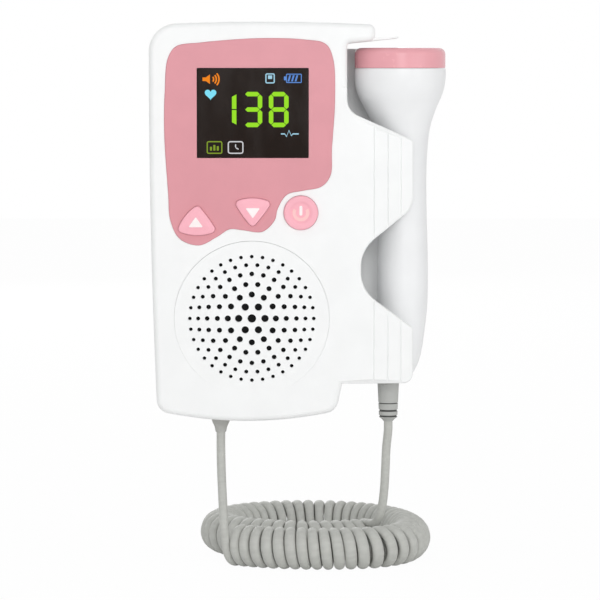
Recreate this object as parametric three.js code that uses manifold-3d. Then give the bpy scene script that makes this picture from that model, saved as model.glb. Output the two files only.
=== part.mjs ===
// A handheld fetal doppler monitor with a docked ultrasound probe on a curly cord.
// Millimetres. x to the right and z up, seen from the front; the front faces -y.
// The origin is a point on the flat back of the case, where a hand or a holder meets it.
import * as THREE from 'three';
import { mergeVertices } from 'three/addons/utils/BufferGeometryUtils.js';
import Module from 'manifold-3d';

const wasm = await Module();
wasm.setup();

// Fits shared by all the pieces
const fit = 0.3;              // gap between pieces that seat on each other
const overrun = 1;            // how far a cutter runs past what it cuts

// Case, as corners of its outline before the crowned edges are added. Its foot follows
// the speaker, and the speaker follows the face panel
const caseDepth = 33.6;
const caseTop = 67.1;
const caseLeft = -34;
const caseRight = 32.8;
const footTaperLeft = 2.4;    // how far the side walls draw in at the foot
const footTaperRight = 3.6;
const waistTaper = 1.3;       // and the right wall at the waist, above the foot
const waistRise = 10.6;
const topCrown = 1;
const bottomCrown = 3.4;
const leftCrown = 0.8;
const topLeftRound = 9.5;
const footRound = 4.8;
const waistRound = 18;
const browReach = 9.4;        // the brow over the probe head stands out this far
const browThick = 6.4;
const browRise = 1;
const browRound = 2.3;
const browInnerRound = 1;
const lipReach = 17.2;        // a thin lip under the brow reaches over the middle of the head
const lipRise = 1.85;
const lipTip = 0.5;
const lipThick = 1.3;
const lipSetback = 2.2;       // from the front and the back of the case
const shoulderRound = 4;
const edgeRound = 2;
const sideWall = 2.2;
const faceWall = 3;
const backWall = 2.4;
const splitDepth = 18;        // depth of the front shell, the rest is the rear shell

// Dock for the probe: a front wall swept back to its free edge, and a flat rear wall
const dockPast = 4.2;         // the walls end this far past the axis of the probe
const dockRise = 9.4;         // from the foot of the case to the foot of the dock
const dockWall = 2.5;
const dockLap = 5.8;          // the walls run this far into the case
const dockFootRound = 3.2;
const sweepSetback = 5.2;     // the front wall is flat from the case to here
const sweepBack = 2.6;
const scoopShoulder = 4.7;    // from the case to the deepest part of the finger scoop
const scoopRise = 18.8;       // from the foot of the dock to the scoop
const scoopSlope = 13.1;      // heights of the scoop's lower flank, its back and its upper flank
const scoopFlat = 13.55;
const scoopReturn = 14.15;
const scoopRound = 12;
const scoopLipRound = 1.2;
const scoopShoulderRound = 8;
const pocketDrop = 31.2;      // the front wall is cut from here up to the case for the head
const pocketRise = 10;
const pocketRound = 8;
const grooveWide = 0.5;
const grooveDeep = 0.5;
const grooveShares = [0.406, 0.616, 0.8125];   // places from the case to the wall's free edge
const rearDockRise = 2.7;     // the rear wall stands above the probe
const rearDockRound = 4;
const cradleThick = 2.4;
const cradleDrop = 11.1;      // upper rib, below the head pocket
const cradleRise = 9.2;       // lower rib, above the foot of the dock
const cradleArm = 1.1;

// Face panel, laid into the front of the case
const panelMarginLeft = 5.2;
const panelMarginRight = 4.1;
const panelMarginTop = 4.6;
const panelHeight = 69.7;
const panelThick = 1.4;
const panelProud = 0.3;
const panelShares = [
  [0.022, 0.903], [0.069, 0.96], [0.212, 0.979], [0.4, 0.993], [0.574, 1], [0.814, 0.994],
  [0.946, 0.972], [0.988, 0.903], [1, 0.715], [0.982, 0.468], [0.974, 0.339], [0.922, 0.285],
  [0.814, 0.265], [0.718, 0.245], [0.664, 0.176], [0.646, 0.121], [0.574, 0.066],
  [0.454, 0.074], [0.382, 0.078], [0.31, 0.042], [0.202, 0], [0.088, 0.032], [0.034, 0.121],
  [0.022, 0.25], [0, 0.547], [0.004, 0.745],
];

// Display
const windowWidth = 37.6;
const windowHeight = 30.2;
const windowMarginRight = 8.9;
const windowMarginTop = 10;
const windowThick = 1.2;
const windowRound = 0.8;
const windowLedge = 1.3;
const moduleMargin = 0.6;

// Keys. Each keeps its distance from the edge of the panel beside it
const keyProud = 1;
const keyTravel = 0.8;
const keyFlange = 0.8;        // width and thickness of the lip that keeps a key in
const keyRound = 1.5;
const keyCrown = 1.5;
const keyStemRadius = 1.6;
const triangleWidth = 12.2;
const triangleHeight = 10;
// Corners of the two triangular keys: across, up, and the bulge of the edge to the next corner
const upShares = [[0.045, 0.551, 0.7], [-0.528, -0.334, 1], [0.574, -0.336, 0.2]];
const downShares = [[-0.525, 0.349, 0.25], [-0.018, -0.53, 0.2], [0.52, 0.334, 0.93]];
const upAcrossShare = 0.186;  // places across the panel
const downAcrossShare = 0.52;
const powerAcrossShare = 0.8;
const upRise = 8.2;           // above the foot of the panel
const downEdgeShare = 0.07;   // height of the panel's edge below the down key
const downRise = 6.32;
const powerEdgeShare = 0.265; // height of the panel's edge above the power key
const powerDrop = 7.47;
const powerRadius = 5.8;
const powerBevel = 0.7;
const powerDishShare = 0.62;
const powerRimShare = 0.72;
const switchSize = 6;
const switchHeight = 3.4;
const plungerRadius = 1.7;
const plungerHeight = 0.9;

// Main board
const boardMarginLeft = 6;
const boardMarginRight = 5.8;
const boardMarginTop = 7.1;
const boardMarginFoot = 1;    // below the lowest switch
const boardThick = 1.6;
const boardDepth = 10.4;      // from the front of the case to the board
const boardNotch = 5.1;
const standoffRadius = 2;
const standoffInset = 9;

// Loudspeaker behind the perforated disc. It fills the room in front of the battery bay
const speakerDrop = 24.8;     // from the foot of the panel to the middle of the disc
const speakerMarginLeft = 5.9;
const speakerMarginRight = 2.3;
const speakerMarginFoot = 5.3;
const grilleThick = 1.5;
const grilleSunk = 0.4;
const grilleLedge = 3.3;
const ringShares = [0.169, 0.309, 0.443, 0.574, 0.69, 0.797];
const holeShares = [0.0475, 0.04, 0.0338, 0.0308, 0.0266, 0.024];
const centreHoleShare = 0.055;
const basketMargin = 2.1;     // from the edge of the disc to the rim of the basket
const basketRimWide = 3.2;
const basketRimThick = 1;
const basketNeckShare = 0.4545;
const basketDeepShare = 0.667;
const basketSheet = 0.8;
const coneNeckShare = 0.24;
const coneInnerShare = 0.6;
const coneRecess = 1.8;
const coneSheet = 0.5;
const magnetShare = 0.413;
const magnetRoom = 1.2;       // from the magnet to the battery bay

// Battery bay, its two cells and the sliding cover
const cellRadius = 7.2;
const cellLength = 49;
const cellNubRadius = 2.6;
const cellNubHeight = 1.2;
const cellRoom = 0.4;
const bayWall = 1.2;
const bayFootMargin = 2.9;
const contactThick = 0.6;
const contactWide = 9;
const coverLap = 4;           // past the bay at each side
const coverRise = 3;          // and above it
const coverThick = 1.8;
const coverRound = 3;
const coverGripWide = 1.1;
const coverGripDeep = 0.6;
const coverGripPitch = 2.4;
const coverGripCount = 5;
const coverGripDrop = 5.5;
const coverPad = 1.4;

// Screws that hold the two shells together, and their places from the corners of the case
const screwHeadRadius = 2.6;
const screwHeadThick = 1.8;
const screwShank = 1.25;
const screwLength = 14;
const screwSunk = 2.2;
const socketRadius = 1.1;
const socketDeep = 1;
const bossWall = 1.5;
const bossTopLeftIn = 6.5;
const bossTopLeftDown = 11.1;
const bossTopRightIn = 4.8;
const bossTopRightDown = 8.6;
const bossFootLeftIn = 5.1;
const bossFootLeftUp = 8.6;
const bossFootRightIn = 4.2;
const bossFootRightUp = 6.6;

// Probe: round sections, as [share down, share of the head's radius, share of the drift to the
// left]. The head fills the depth of the dock
const headProud = 0.4;        // the head stands out in front of the case
const headGap = 2.6;          // from the case to the head
const headDrop = 1.4;         // from the brow to the head
const probeDrift = 3.8;
const probeWall = 1.7;
const sectionShares = [
  [0.0607, 1, 0], [0.085, 1, 0], [0.117, 0.972, 0], [0.145, 0.91, 0], [0.172, 0.815, -0.03],
  [0.199, 0.73, -0.07], [0.226, 0.653, -0.13], [0.254, 0.598, -0.18], [0.283, 0.56, -0.24],
  [0.33, 0.527, -0.276], [0.39, 0.515, -0.276], [0.5, 0.525, -0.276], [0.61, 0.548, -0.276],
  [0.72, 0.556, -0.276], [0.77, 0.553, -0.25], [0.815, 0.545, -0.166], [0.86, 0.535, -0.046],
  [0.905, 0.522, 0.092], [0.94, 0.5, 0.24], [0.965, 0.47, 0.414], [0.985, 0.43, 0.645], [1, 0.37, 1],
];
const bandStep = 0.15;        // the band lies under the skin of the head
const bandWall = 2.3;
const bandRound = 2.2;
const bandHeightShare = 0.061;
const spigotHeight = 3.6;
const lensLip = 0.6;          // the band closes in over the spigot to hold the lens
const lensThick = 2.4;
const lensDome = 0.5;
const lensDomeShare = 0.7;
const crystalMargin = 1.8;
const crystalThick = 1.4;
const backingThick = 5;
const backingFootShare = 0.8;
const probeWaistShare = 0.39;   // where the handle is narrowest, and grips the board's edges
const probeBoardLength = 42;
const probeBoardThick = 1.2;
const probeBoardDrop = 29.3;

// Strain reliefs
const reliefTopRadius = 3.75;
const reliefFootRadius = 3.15;
const reliefLength = 12.6;
const reliefInside = 3.6;
const reliefNeck = 2.6;
const reliefGroove = 0.5;
const reliefGrooveWide = 0.7;
const reliefGrooveShares = [0.42, 0.58, 0.74, 0.9];
const collarLength = 1.7;
const collarRadius = 2.3;
const bootX = -10.3;
const bootDepth = 18;         // in front of the back of the case
const bootRadius = 3.3;
const bootWaist = 2.1;
const bootLength = 5;
const bootFlange = 3.6;
const bootFlangeThick = 1.2;
const bootNeck = 2.4;
const bootBellShares = [0.92, 0.3];    // radius and drop of the bell's shoulder
const bootWaistShare = 0.7;
const bootFootShare = 0.85;

// Curly cord, lying in an open ring on the surface below the case
const cordRadius = 1.5;
const curlRadius = 5.7;       // centre of the wire from the centre of the curl
const innerPitch = 3.86;      // spacing of neighbouring turns on the inside of a bend
const floorZ = -118;
const cordStep = 3;
const coilRoute = [
  [-5.6, -22.4], [6, -28.4], [19, -31.2], [31, -31.2], [43, -28], [51.6, -19.2], [55, -7.2],
  [54.4, 6], [50, 19], [41, 30], [28, 36.5], [13, 37], [-0.6, 31.8], [-9, 21.5], [-11, 9.5],
  [-6.2, -2], [4.6, -10.6], [17, -14.6], [29, -13.6], [39.6, -9.6],
];
const leftRoute = [
  [-10.3, -18.1, -78], [-10.1, -19.8, -85.5], [-9.7, -23, -93], [-9.3, -26, -99.5],
];
const rightRoute = [
  [46.6, -17.7, -78], [46.3, -17.9, -85], [45.9, -18, -92], [45.2, -17.7, -98],
  [44, -16.9, -102.4],
];

// Worked out from the sizes above, from the top of the case down
const frontY = -caseDepth;
const splitY = frontY + splitDepth;
const faceInnerY = frontY + faceWall;
const boardY = frontY + boardDepth;
const plungerTip = boardY - switchHeight - plungerHeight;
const keyBack = plungerTip - keyTravel - fit;

const panelLeft = caseLeft + panelMarginLeft;
const panelWidth = caseRight - panelMarginRight - panelLeft;
const panelTop = caseTop - panelMarginTop;
const panelFoot = panelTop - panelHeight;
const panelBack = frontY - panelProud + panelThick;
const windowX = panelLeft + panelWidth - windowMarginRight - windowWidth / 2;
const windowZ = panelTop - windowMarginTop - windowHeight / 2;
const upX = panelLeft + upAcrossShare * panelWidth;
const upZ = panelFoot + upRise;
const downX = panelLeft + downAcrossShare * panelWidth;
const downZ = panelFoot + downEdgeShare * panelHeight + downRise;
const powerX = panelLeft + powerAcrossShare * panelWidth;
const powerZ = panelFoot + powerEdgeShare * panelHeight - powerDrop;
const boardLeft = caseLeft + boardMarginLeft;
const boardRight = caseRight - boardMarginRight;
const boardTop = caseTop - boardMarginTop;
const boardBottom = Math.min(upZ, downZ, powerZ) - switchSize / 2 - boardMarginFoot;

const caseFootLeft = caseLeft + footTaperLeft;
const caseFootRight = caseRight - footTaperRight;
const grilleRadius = (caseFootRight - speakerMarginRight - caseFootLeft - speakerMarginLeft) / 2;
const speakerX = caseFootLeft + speakerMarginLeft + grilleRadius;
const speakerZ = panelFoot - speakerDrop;
const caseBottom = speakerZ - grilleRadius - speakerMarginFoot;
const waistRight = caseRight - waistTaper;
const waistHeight = caseBottom + waistRise;

const bayHalfWidth = 2 * cellRadius + cellRoom + cellRoom / 2;
const bayHalfHeight = (cellLength + cellNubHeight) / 2 + contactThick + cellRoom;
const bayFloorY = -coverThick - fit - 2 * (cellRadius + cellRoom);
const bayCentre = caseBottom + bayFootMargin + bayHalfHeight;
const coverHalf = bayHalfWidth + coverLap;
const coverTop = bayCentre + bayHalfHeight + coverRise;
const coverGripTop = coverTop - coverGripDrop;

const basketRim = grilleRadius - basketMargin;
const coneEdge = basketRim - basketRimWide;
const basketNeck = basketNeckShare * basketRim;
const coneNeck = coneNeckShare * coneEdge;
const magnetRadius = magnetShare * basketRim;
const speakerRoom = bayFloorY - bayWall - faceInnerY - magnetRoom;
const basketDeep = basketDeepShare * speakerRoom;
const coneDeep = basketDeep - coneRecess;

const browUnder = caseTop - browThick;
const headRadius = (caseDepth + headProud - dockWall - fit) / 2;
const probeY = -dockWall - fit - headRadius;
const probeX = caseRight + headGap + headRadius;
const probeTop = browUnder - headDrop;
const dockRight = probeX + dockPast;
const dockBottom = caseBottom + dockRise;
const dockRoot = caseRight - dockLap;
const sweepStart = caseRight + sweepSetback;
const groovePlaces = grooveShares.map((share) => caseRight + share * (dockRight - caseRight));
const scoopDeep = caseRight + scoopShoulder;
const scoopBottom = dockBottom + scoopRise;
const scoopLow = scoopBottom + scoopSlope;
const scoopHigh = scoopLow + scoopFlat;
const scoopTop = scoopHigh + scoopReturn;
const pocketLow = probeTop - pocketDrop;
const pocketHigh = pocketLow + pocketRise;
const rearDockTop = probeTop + rearDockRise;
const cradleHigh = pocketLow - cradleDrop;
const cradleLow = dockBottom + cradleRise;
const probeLength = probeTop - dockBottom - fit;
const bandRadius = headRadius - bandStep;
const bandHeight = bandHeightShare * probeLength;
const spigotRadius = bandRadius - bandWall;
const lensRadius = spigotRadius - lensLip;
const crystalRadius = lensRadius - crystalMargin;
const probeBoardTop = probeTop - probeBoardDrop;

// Plane outlines, as loops of [x, z]

// A loop of corners [x, z, round, crown]: each corner is rounded by an arc, and each edge
// bulges out by its crown along a parabola to the next corner
function outline(corners, arcSteps = 4, crownSteps = 6) {
  const loop = [];
  corners.forEach(([x, z, round = 0, crown = 0], i) => {
    loop.push({ p: new THREE.Vector2(x, z), round });
    if (!crown) return;
    const [nx, nz] = corners[(i + 1) % corners.length];
    const edge = new THREE.Vector2(nx - x, nz - z);
    const out = new THREE.Vector2(edge.y, -edge.x).normalize();
    for (let k = 1; k < crownSteps; k += 1) {
      const t = k / crownSteps;
      const bulge = 4 * crown * t * (1 - t);
      const p = new THREE.Vector2(x, z).addScaledVector(edge, t).addScaledVector(out, bulge);
      loop.push({ p, round: 0 });
    }
  });
  return loop.flatMap(({ p, round }, i) => {
    if (!round) return [p.clone()];
    const before = loop[(i + loop.length - 1) % loop.length].p.clone().sub(p);
    const after = loop[(i + 1) % loop.length].p.clone().sub(p);
    const half = Math.acos(THREE.MathUtils.clamp(
      before.clone().normalize().dot(after.clone().normalize()), -1, 1)) / 2;
    const room = Math.min(before.length(), after.length()) * 0.98;
    const reach = Math.min(round / Math.tan(half), room);
    const from = p.clone().addScaledVector(before.normalize(), reach);
    const to = p.clone().addScaledVector(after.normalize(), reach);
    const curve = new THREE.QuadraticBezierCurve(from, p, to);
    const radius = reach * Math.tan(half);
    const centre = before.clone().add(after).normalize().multiplyScalar(radius / Math.sin(half));
    centre.add(p);
    return curve.getPoints(arcSteps).map((q) => {
      const spoke = q.clone().sub(centre).setLength(radius);
      return centre.clone().add(spoke);
    });
  });
}

// A loop moved inwards by a distance, or outwards by a negative one
function inset(loop, distance) {
  const turn = THREE.ShapeUtils.area(loop) > 0 ? 1 : -1;
  return loop.map((p, i) => {
    const before = loop[(i + loop.length - 1) % loop.length];
    const after = loop[(i + 1) % loop.length];
    const a = p.clone().sub(before).normalize();
    const b = after.clone().sub(p).normalize();
    const inward = new THREE.Vector2(-a.y - b.y, a.x + b.x).multiplyScalar(turn).normalize();
    const cosHalf = Math.max(inward.dot(new THREE.Vector2(-a.y, a.x).multiplyScalar(turn)), 0.5);
    return p.clone().addScaledVector(inward, distance / cosHalf);
  });
}

function circle(x, z, radius, steps = 24) {
  return Array.from({ length: steps }, (_, i) => {
    const angle = (i / steps) * 2 * Math.PI;
    return new THREE.Vector2(x + radius * Math.cos(angle), z + radius * Math.sin(angle));
  });
}

// Cosine and sine at equal steps through an arc
const arcPoints = (steps, from, sweep) => Array.from({ length: steps + 1 }, (_, i) => {
  const angle = from + (i / steps) * sweep;
  return [Math.cos(angle), Math.sin(angle)];
});

function rectangle(left, right, bottom, top, round = 0) {
  return outline([
    [left, bottom, round], [right, bottom, round], [right, top, round], [left, top, round],
  ], 3);
}

// A smooth closed curve through hand-picked shares of a box
function smoothLoop(shares, left, bottom, width, height, steps) {
  const points = shares.map(([u, v]) => new THREE.Vector3(left + u * width, bottom + v * height, 0));
  const curve = new THREE.CatmullRomCurve3(points, true, 'centripetal');
  return curve.getPoints(steps).slice(0, -1).map((p) => new THREE.Vector2(p.x, p.y));
}

// Solids

function volumeOf(positions, triangles) {
  let six = 0;
  const [a, b, c] = [new THREE.Vector3(), new THREE.Vector3(), new THREE.Vector3()];
  for (let i = 0; i < triangles.length; i += 3) {
    a.fromArray(positions, triangles[i] * 3);
    b.fromArray(positions, triangles[i + 1] * 3);
    c.fromArray(positions, triangles[i + 2] * 3);
    six += a.dot(b.cross(c));
  }
  return six;
}

function solidFrom(positions, triangles) {
  const facing = volumeOf(positions, triangles) > 0 ? triangles : triangles.slice().reverse();
  return new wasm.Manifold(new wasm.Mesh({
    numProp: 3,
    vertProperties: Float32Array.from(positions),
    triVerts: Uint32Array.from(facing),
  }));
}

function solidOf(geometry) {
  const bare = geometry.index ? geometry.toNonIndexed() : geometry.clone();
  bare.deleteAttribute('normal');
  bare.deleteAttribute('uv');
  const merged = mergeVertices(bare, 1e-4);
  const index = Array.from(merged.index.array);
  const whole = [];
  for (let i = 0; i < index.length; i += 3) {
    const [a, b, c] = index.slice(i, i + 3);
    if (a !== b && b !== c && c !== a) whole.push(a, b, c);
  }
  return solidFrom(Array.from(merged.attributes.position.array), whole);
}

// A closed skin over rings of equal count, with a flat cap at each end
function skin(rings) {
  const count = rings[0].length;
  const positions = rings.flat().flatMap((p) => [p.x, p.y, p.z]);
  const triangles = [];
  for (let r = 0; r + 1 < rings.length; r += 1) {
    for (let i = 0; i < count; i += 1) {
      const j = (i + 1) % count;
      const [a, b, c, d] = [r * count + i, r * count + j, (r + 1) * count + j, (r + 1) * count + i];
      triangles.push(a, b, c, a, c, d);
    }
  }
  const cap = (ring, start, flip) => {
    const normal = new THREE.Vector3();
    ring.forEach((p, i) => normal.add(p.clone().cross(ring[(i + 1) % count])));
    const turn = new THREE.Quaternion().setFromUnitVectors(
      normal.normalize(), new THREE.Vector3(0, 0, 1));
    const flat = ring.map((p) => {
      const q = p.clone().applyQuaternion(turn);
      return new THREE.Vector2(q.x, q.y);
    });
    THREE.ShapeUtils.triangulateShape(flat, []).forEach(([a, b, c]) => {
      triangles.push(...(flip ? [start + c, start + b, start + a] : [start + a, start + b, start + c]));
    });
  };
  cap(rings[0], 0, true);
  cap(rings[rings.length - 1], (rings.length - 1) * count, false);
  return solidFrom(positions, triangles);
}

const ringAt = (loop, y) => loop.map((p) => new THREE.Vector3(p.x, y, p.y));

// A straight prism of a loop between two depths
const prism = (loop, yA, yB) => skin([ringAt(loop, yA), ringAt(loop, yB)]);

// A prism whose edge is rounded off towards its first depth
function roundedPrism(loop, yEnd, yFlat, round, steps = 3) {
  const away = Math.sign(yFlat - yEnd);
  const rings = [];
  for (let k = 0; k <= steps; k += 1) {
    const angle = (k / steps) * (Math.PI / 2);
    const drawn = round * (1 - Math.sin(angle));
    rings.push(ringAt(inset(loop, drawn), yEnd + away * round * (1 - Math.cos(angle))));
  }
  rings.push(ringAt(loop, yFlat));
  return skin(rings);
}

// A solid of revolution about an axis along z or y, from a profile of [radius, place]
function revolved(profile, axis, x, y, z, steps = 24) {
  const points = profile.map(([r, h]) => new THREE.Vector2(r, h));
  const geometry = new THREE.LatheGeometry(points, steps);
  if (axis === 'z') geometry.rotateX(Math.PI / 2);
  geometry.translate(x, y, z);
  return solidOf(geometry);
}

const rod = (x, z, radius, yA, yB, steps = 20) => prism(circle(x, z, radius, steps), yA, yB);

function box(left, right, front, back, bottom, top) {
  return prism(rectangle(left, right, bottom, top), front, back);
}

// A tube with its section carried along a smooth route
function tube(route, radius) {
  const curve = new THREE.CatmullRomCurve3(route, false, 'centripetal');
  const section = new THREE.Shape(circle(0, 0, radius, 8));
  const steps = Math.max(2, Math.round(curve.getLength() / cordStep));
  return solidOf(new THREE.ExtrudeGeometry(section, { steps, extrudePath: curve }));
}

// Case shells

const footCorners = [
  [caseFootLeft, caseBottom, footRound, bottomCrown],
  [caseFootRight, caseBottom, footRound],
  [waistRight, waistHeight, waistRound],
  [caseRight, scoopLow],
];
const topLeftCorner = [caseLeft, caseTop, topLeftRound, leftCrown];
const caseOutline = outline([
  ...footCorners,
  [caseRight, browUnder, browInnerRound],
  [caseRight + browReach, browUnder + browRise, browRound],
  [caseRight + browReach, caseTop, browRound, topCrown],
  topLeftCorner,
]);

// The same without the brow, which is solid: the room inside follows this one
const roomOutline = inset(outline([
  ...footCorners,
  [caseRight, caseTop, shoulderRound, topCrown],
  topLeftCorner,
]), sideWall);

// The lip under the brow, thinner towards its tip
const lipOutline = outline([
  [caseRight, browUnder],
  [caseRight + lipReach, browUnder + lipRise],
  [caseRight + lipReach, browUnder + lipRise + lipTip],
  [caseRight, browUnder + lipThick],
]);

const dockFrontOutline = outline([
  [dockRoot, dockBottom],
  [dockRight, dockBottom, dockFootRound],
  [dockRight, scoopBottom, scoopLipRound],
  [scoopDeep, scoopLow, scoopRound],
  [scoopDeep, scoopHigh, scoopRound],
  [dockRight, scoopTop, scoopShoulderRound],
  [dockRight, pocketLow, scoopLipRound],
  [caseRight, pocketHigh, pocketRound],
  [caseRight, pocketHigh + pocketRound],
  [dockRoot, pocketHigh + pocketRound],
]);

const dockRearOutline = outline([
  [dockRoot, dockBottom],
  [dockRight, dockBottom, rearDockRound],
  [dockRight, rearDockTop, rearDockRound],
  [dockRoot, rearDockTop],
]);

// Plan of the swept front wall: flat by the case, then drawn back as a parabola, with
// vertical grooves cut into its outer face
function sweptWall() {
  const steps = 8;
  const outer = [];
  for (let k = 0; k <= steps; k += 1) {
    const t = k / steps;
    const x = sweepStart + t * (dockRight + overrun - sweepStart);
    outer.push([x, frontY + sweepBack * t * t]);
  }
  const front = [[dockRoot, frontY], ...outer];
  const back = front.map(([x, y]) => [x, y + dockWall]).reverse();
  const ring = (z) => [...front, ...back].map(([x, y]) => new THREE.Vector3(x, y, z));
  let wall = skin([ring(dockBottom - overrun), ring(pocketHigh + pocketRound + overrun)]);
  groovePlaces.forEach((x) => {
    const t = Math.max(0, (x - sweepStart) / (dockRight + overrun - sweepStart));
    const y = frontY + sweepBack * t * t;
    wall = wall.subtract(box(x - grooveWide / 2, x + grooveWide / 2, y - overrun, y + grooveDeep,
      dockBottom - 2 * overrun, pocketHigh + pocketRound + 2 * overrun));
  });
  return wall.intersect(prism(dockFrontOutline, frontY - overrun, 0));
}

const panelLoop = smoothLoop(
  panelShares, panelLeft, panelFoot, panelWidth, panelHeight, panelShares.length * 2);
// The window's rectangle, grown by a margin
const windowBox = (margin, round) => rectangle(
  windowX - windowWidth / 2 - margin, windowX + windowWidth / 2 + margin,
  windowZ - windowHeight / 2 - margin, windowZ + windowHeight / 2 + margin, round);
const windowLoop = windowBox(0, windowRound);
const keyLoop = (shares, x, z) => outline(shares.map(([u, v, bulge]) => [
  x + u * triangleWidth, z + v * triangleHeight, keyRound, bulge * keyCrown,
]), 5, 2);
const upLoop = keyLoop(upShares, upX, upZ);
const downLoop = keyLoop(downShares, downX, downZ);
const powerLoop = circle(powerX, powerZ, powerRadius, 22);
const screwPlaces = [
  [caseLeft + bossTopLeftIn, caseTop - bossTopLeftDown],
  [caseRight - bossTopRightIn, caseTop - bossTopRightDown],
  [caseFootLeft + bossFootLeftIn, caseBottom + bossFootLeftUp],
  [caseFootRight - bossFootRightIn, caseBottom + bossFootRightUp],
];
const screwHeadBase = -screwSunk - screwHeadThick;
const bossRadius = screwShank + fit + bossWall;
const wellRadius = screwHeadRadius + fit;
const standoffPlaces = [
  [boardLeft + standoffInset, boardTop - boardThick - standoffRadius],
  [boardRight - standoffInset, boardTop - boardThick - standoffRadius],
  [boardLeft + standoffRadius + boardThick, windowZ - windowHeight / 2 - standoffInset],
  [boardRight - standoffRadius - boardThick, windowZ - windowHeight / 2 - standoffInset],
];

function frontHousing() {
  let shell = roundedPrism(caseOutline, frontY, splitY - fit / 2, edgeRound);
  shell = shell.add(sweptWall());
  shell = shell.add(prism(lipOutline, frontY + lipSetback, splitY - fit / 2));
  shell = shell.subtract(prism(roomOutline, faceInnerY, splitY + overrun));
  shell = shell.subtract(prism(inset(panelLoop, -fit), frontY - overrun, panelBack + fit));
  shell = shell.subtract(prism(windowBox(-windowLedge, 0), frontY - overrun, faceInnerY + overrun));
  [upLoop, downLoop, powerLoop].forEach((loop) => {
    shell = shell.subtract(prism(inset(loop, -fit), frontY - overrun, faceInnerY + overrun));
  });
  const discBack = frontY + grilleSunk + grilleThick;
  shell = shell.subtract(rod(speakerX, speakerZ, grilleRadius + fit, frontY - overrun, discBack + fit, 40));
  shell = shell.subtract(rod(speakerX, speakerZ, grilleRadius - grilleLedge,
    frontY - overrun, faceInnerY + overrun, 40));
  screwPlaces.forEach(([x, z]) => {
    shell = shell.add(rod(x, z, bossRadius, faceInnerY - fit, splitY - fit / 2, 16));
  });
  standoffPlaces.forEach(([x, z]) => {
    shell = shell.add(rod(x, z, standoffRadius, faceInnerY - fit, boardY - fit, 10));
  });
  screwPlaces.forEach(([x, z]) => {
    shell = shell.subtract(rod(x, z, screwShank + fit,
      screwHeadBase - screwLength - fit, splitY + overrun, 12));
  });
  return shell.subtract(revolved([
    [0, caseBottom + sideWall + overrun], [bootNeck + fit, caseBottom + sideWall + overrun],
    [bootNeck + fit, caseBottom - bottomCrown - overrun], [0, caseBottom - bottomCrown - overrun],
  ], 'z', bootX, -bootDepth, 0));
}

// Battery bay, open to the back
const coverLoop = outline([
  [-coverHalf, caseBottom - bottomCrown - overrun],
  [coverHalf, caseBottom - bottomCrown - overrun],
  [coverHalf, coverTop, coverRound],
  [-coverHalf, coverTop, coverRound],
]);

// A rib across the dock with a round-bottomed slot that the handle slides out of
function cradle(height, slotRadius, slotX) {
  const slot = slotRadius + fit;
  const left = caseRight + fit;
  const right = slotX - cradleArm;
  const front = probeY - slot - cradleArm;
  const blank = outline([
    [left, front], [right, front], [right, -backWall + fit], [left, -backWall + fit],
  ]);
  const arc = arcPoints(12, Math.PI / 2, Math.PI).map(([c, s]) => (
    new THREE.Vector2(slotX + slot * c, probeY + slot * s)));
  const open = slotX + overrun;
  arc.push(new THREE.Vector2(open, probeY - slot), new THREE.Vector2(open, probeY + slot));
  const flat = (loop, zA, zB) => skin([zA, zB].map((z) => loop.map((p) => new THREE.Vector3(p.x, p.y, z))));
  const low = height - cradleThick / 2;
  const high = height + cradleThick / 2;
  return flat(blank, low, high).subtract(flat(arc, low - overrun, high + overrun));
}

function rearHousing() {
  let shell = roundedPrism(caseOutline, 0, splitY + fit / 2, edgeRound);
  shell = shell.add(roundedPrism(dockRearOutline, 0, -dockWall, dockWall / 2, 3));
  shell = shell.add(prism(lipOutline, splitY + fit / 2, -lipSetback));
  shell = shell.subtract(prism(roomOutline, splitY - overrun, -backWall));
  const bayTop = bayCentre + bayHalfHeight;
  const bayFoot = bayCentre - bayHalfHeight;
  shell = shell.add(box(-bayHalfWidth - bayWall, bayHalfWidth + bayWall, bayFloorY - bayWall, -backWall + fit,
    bayFoot - bayWall, bayTop + bayWall));
  shell = shell.add(prism(inset(coverLoop, -coverPad), -coverThick - fit - coverPad, -backWall + fit)
    .intersect(prism(inset(roomOutline, -fit), frontY, 0)));
  screwPlaces.forEach(([x, z]) => {
    shell = shell.add(rod(x, z, wellRadius + bossWall, splitY + fit / 2, -backWall + fit, 16));
  });
  shell = shell.subtract(box(-bayHalfWidth, bayHalfWidth, bayFloorY, overrun, bayFoot, bayTop));
  shell = shell.subtract(prism(inset(coverLoop, -fit), -coverThick - fit, overrun));
  screwPlaces.forEach(([x, z]) => {
    shell = shell.subtract(rod(x, z, wellRadius, screwHeadBase - fit, overrun, 16));
    shell = shell.subtract(rod(x, z, screwShank + fit, splitY - overrun, 0, 12));
  });
  shell = shell.add(cradle(cradleHigh, probeSectionAt(cradleHigh).radius, probeSectionAt(cradleHigh).x));
  return shell.add(cradle(cradleLow, probeSectionAt(cradleLow).radius, probeSectionAt(cradleLow).x));
}

function batteryCover() {
  let plate = prism(coverLoop, -coverThick, overrun);
  plate = plate.intersect(roundedPrism(caseOutline, 0, splitY, edgeRound));
  for (let i = 0; i < coverGripCount; i += 1) {
    const z = coverGripTop - i * coverGripPitch;
    const half = coverHalf / 2 - i * coverGripWide;
    plate = plate.subtract(box(-half, half, -coverGripDeep, overrun,
      z - coverGripWide / 2, z + coverGripWide / 2));
  }
  return plate;
}

function batteryCell(x) {
  const foot = bayCentre - bayHalfHeight + contactThick + cellRoom;
  const shoulder = foot + cellLength;
  const bevel = cellNubHeight / 2;
  return revolved([
    [0, foot], [cellRadius - bevel, foot], [cellRadius, foot + bevel],
    [cellRadius, shoulder - bevel], [cellRadius - bevel, shoulder],
    [cellNubRadius, shoulder], [cellNubRadius, shoulder + cellNubHeight], [0, shoulder + cellNubHeight],
  ], 'z', x, -coverThick - fit - cellRadius - cellRoom, 0, 14);
}

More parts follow.
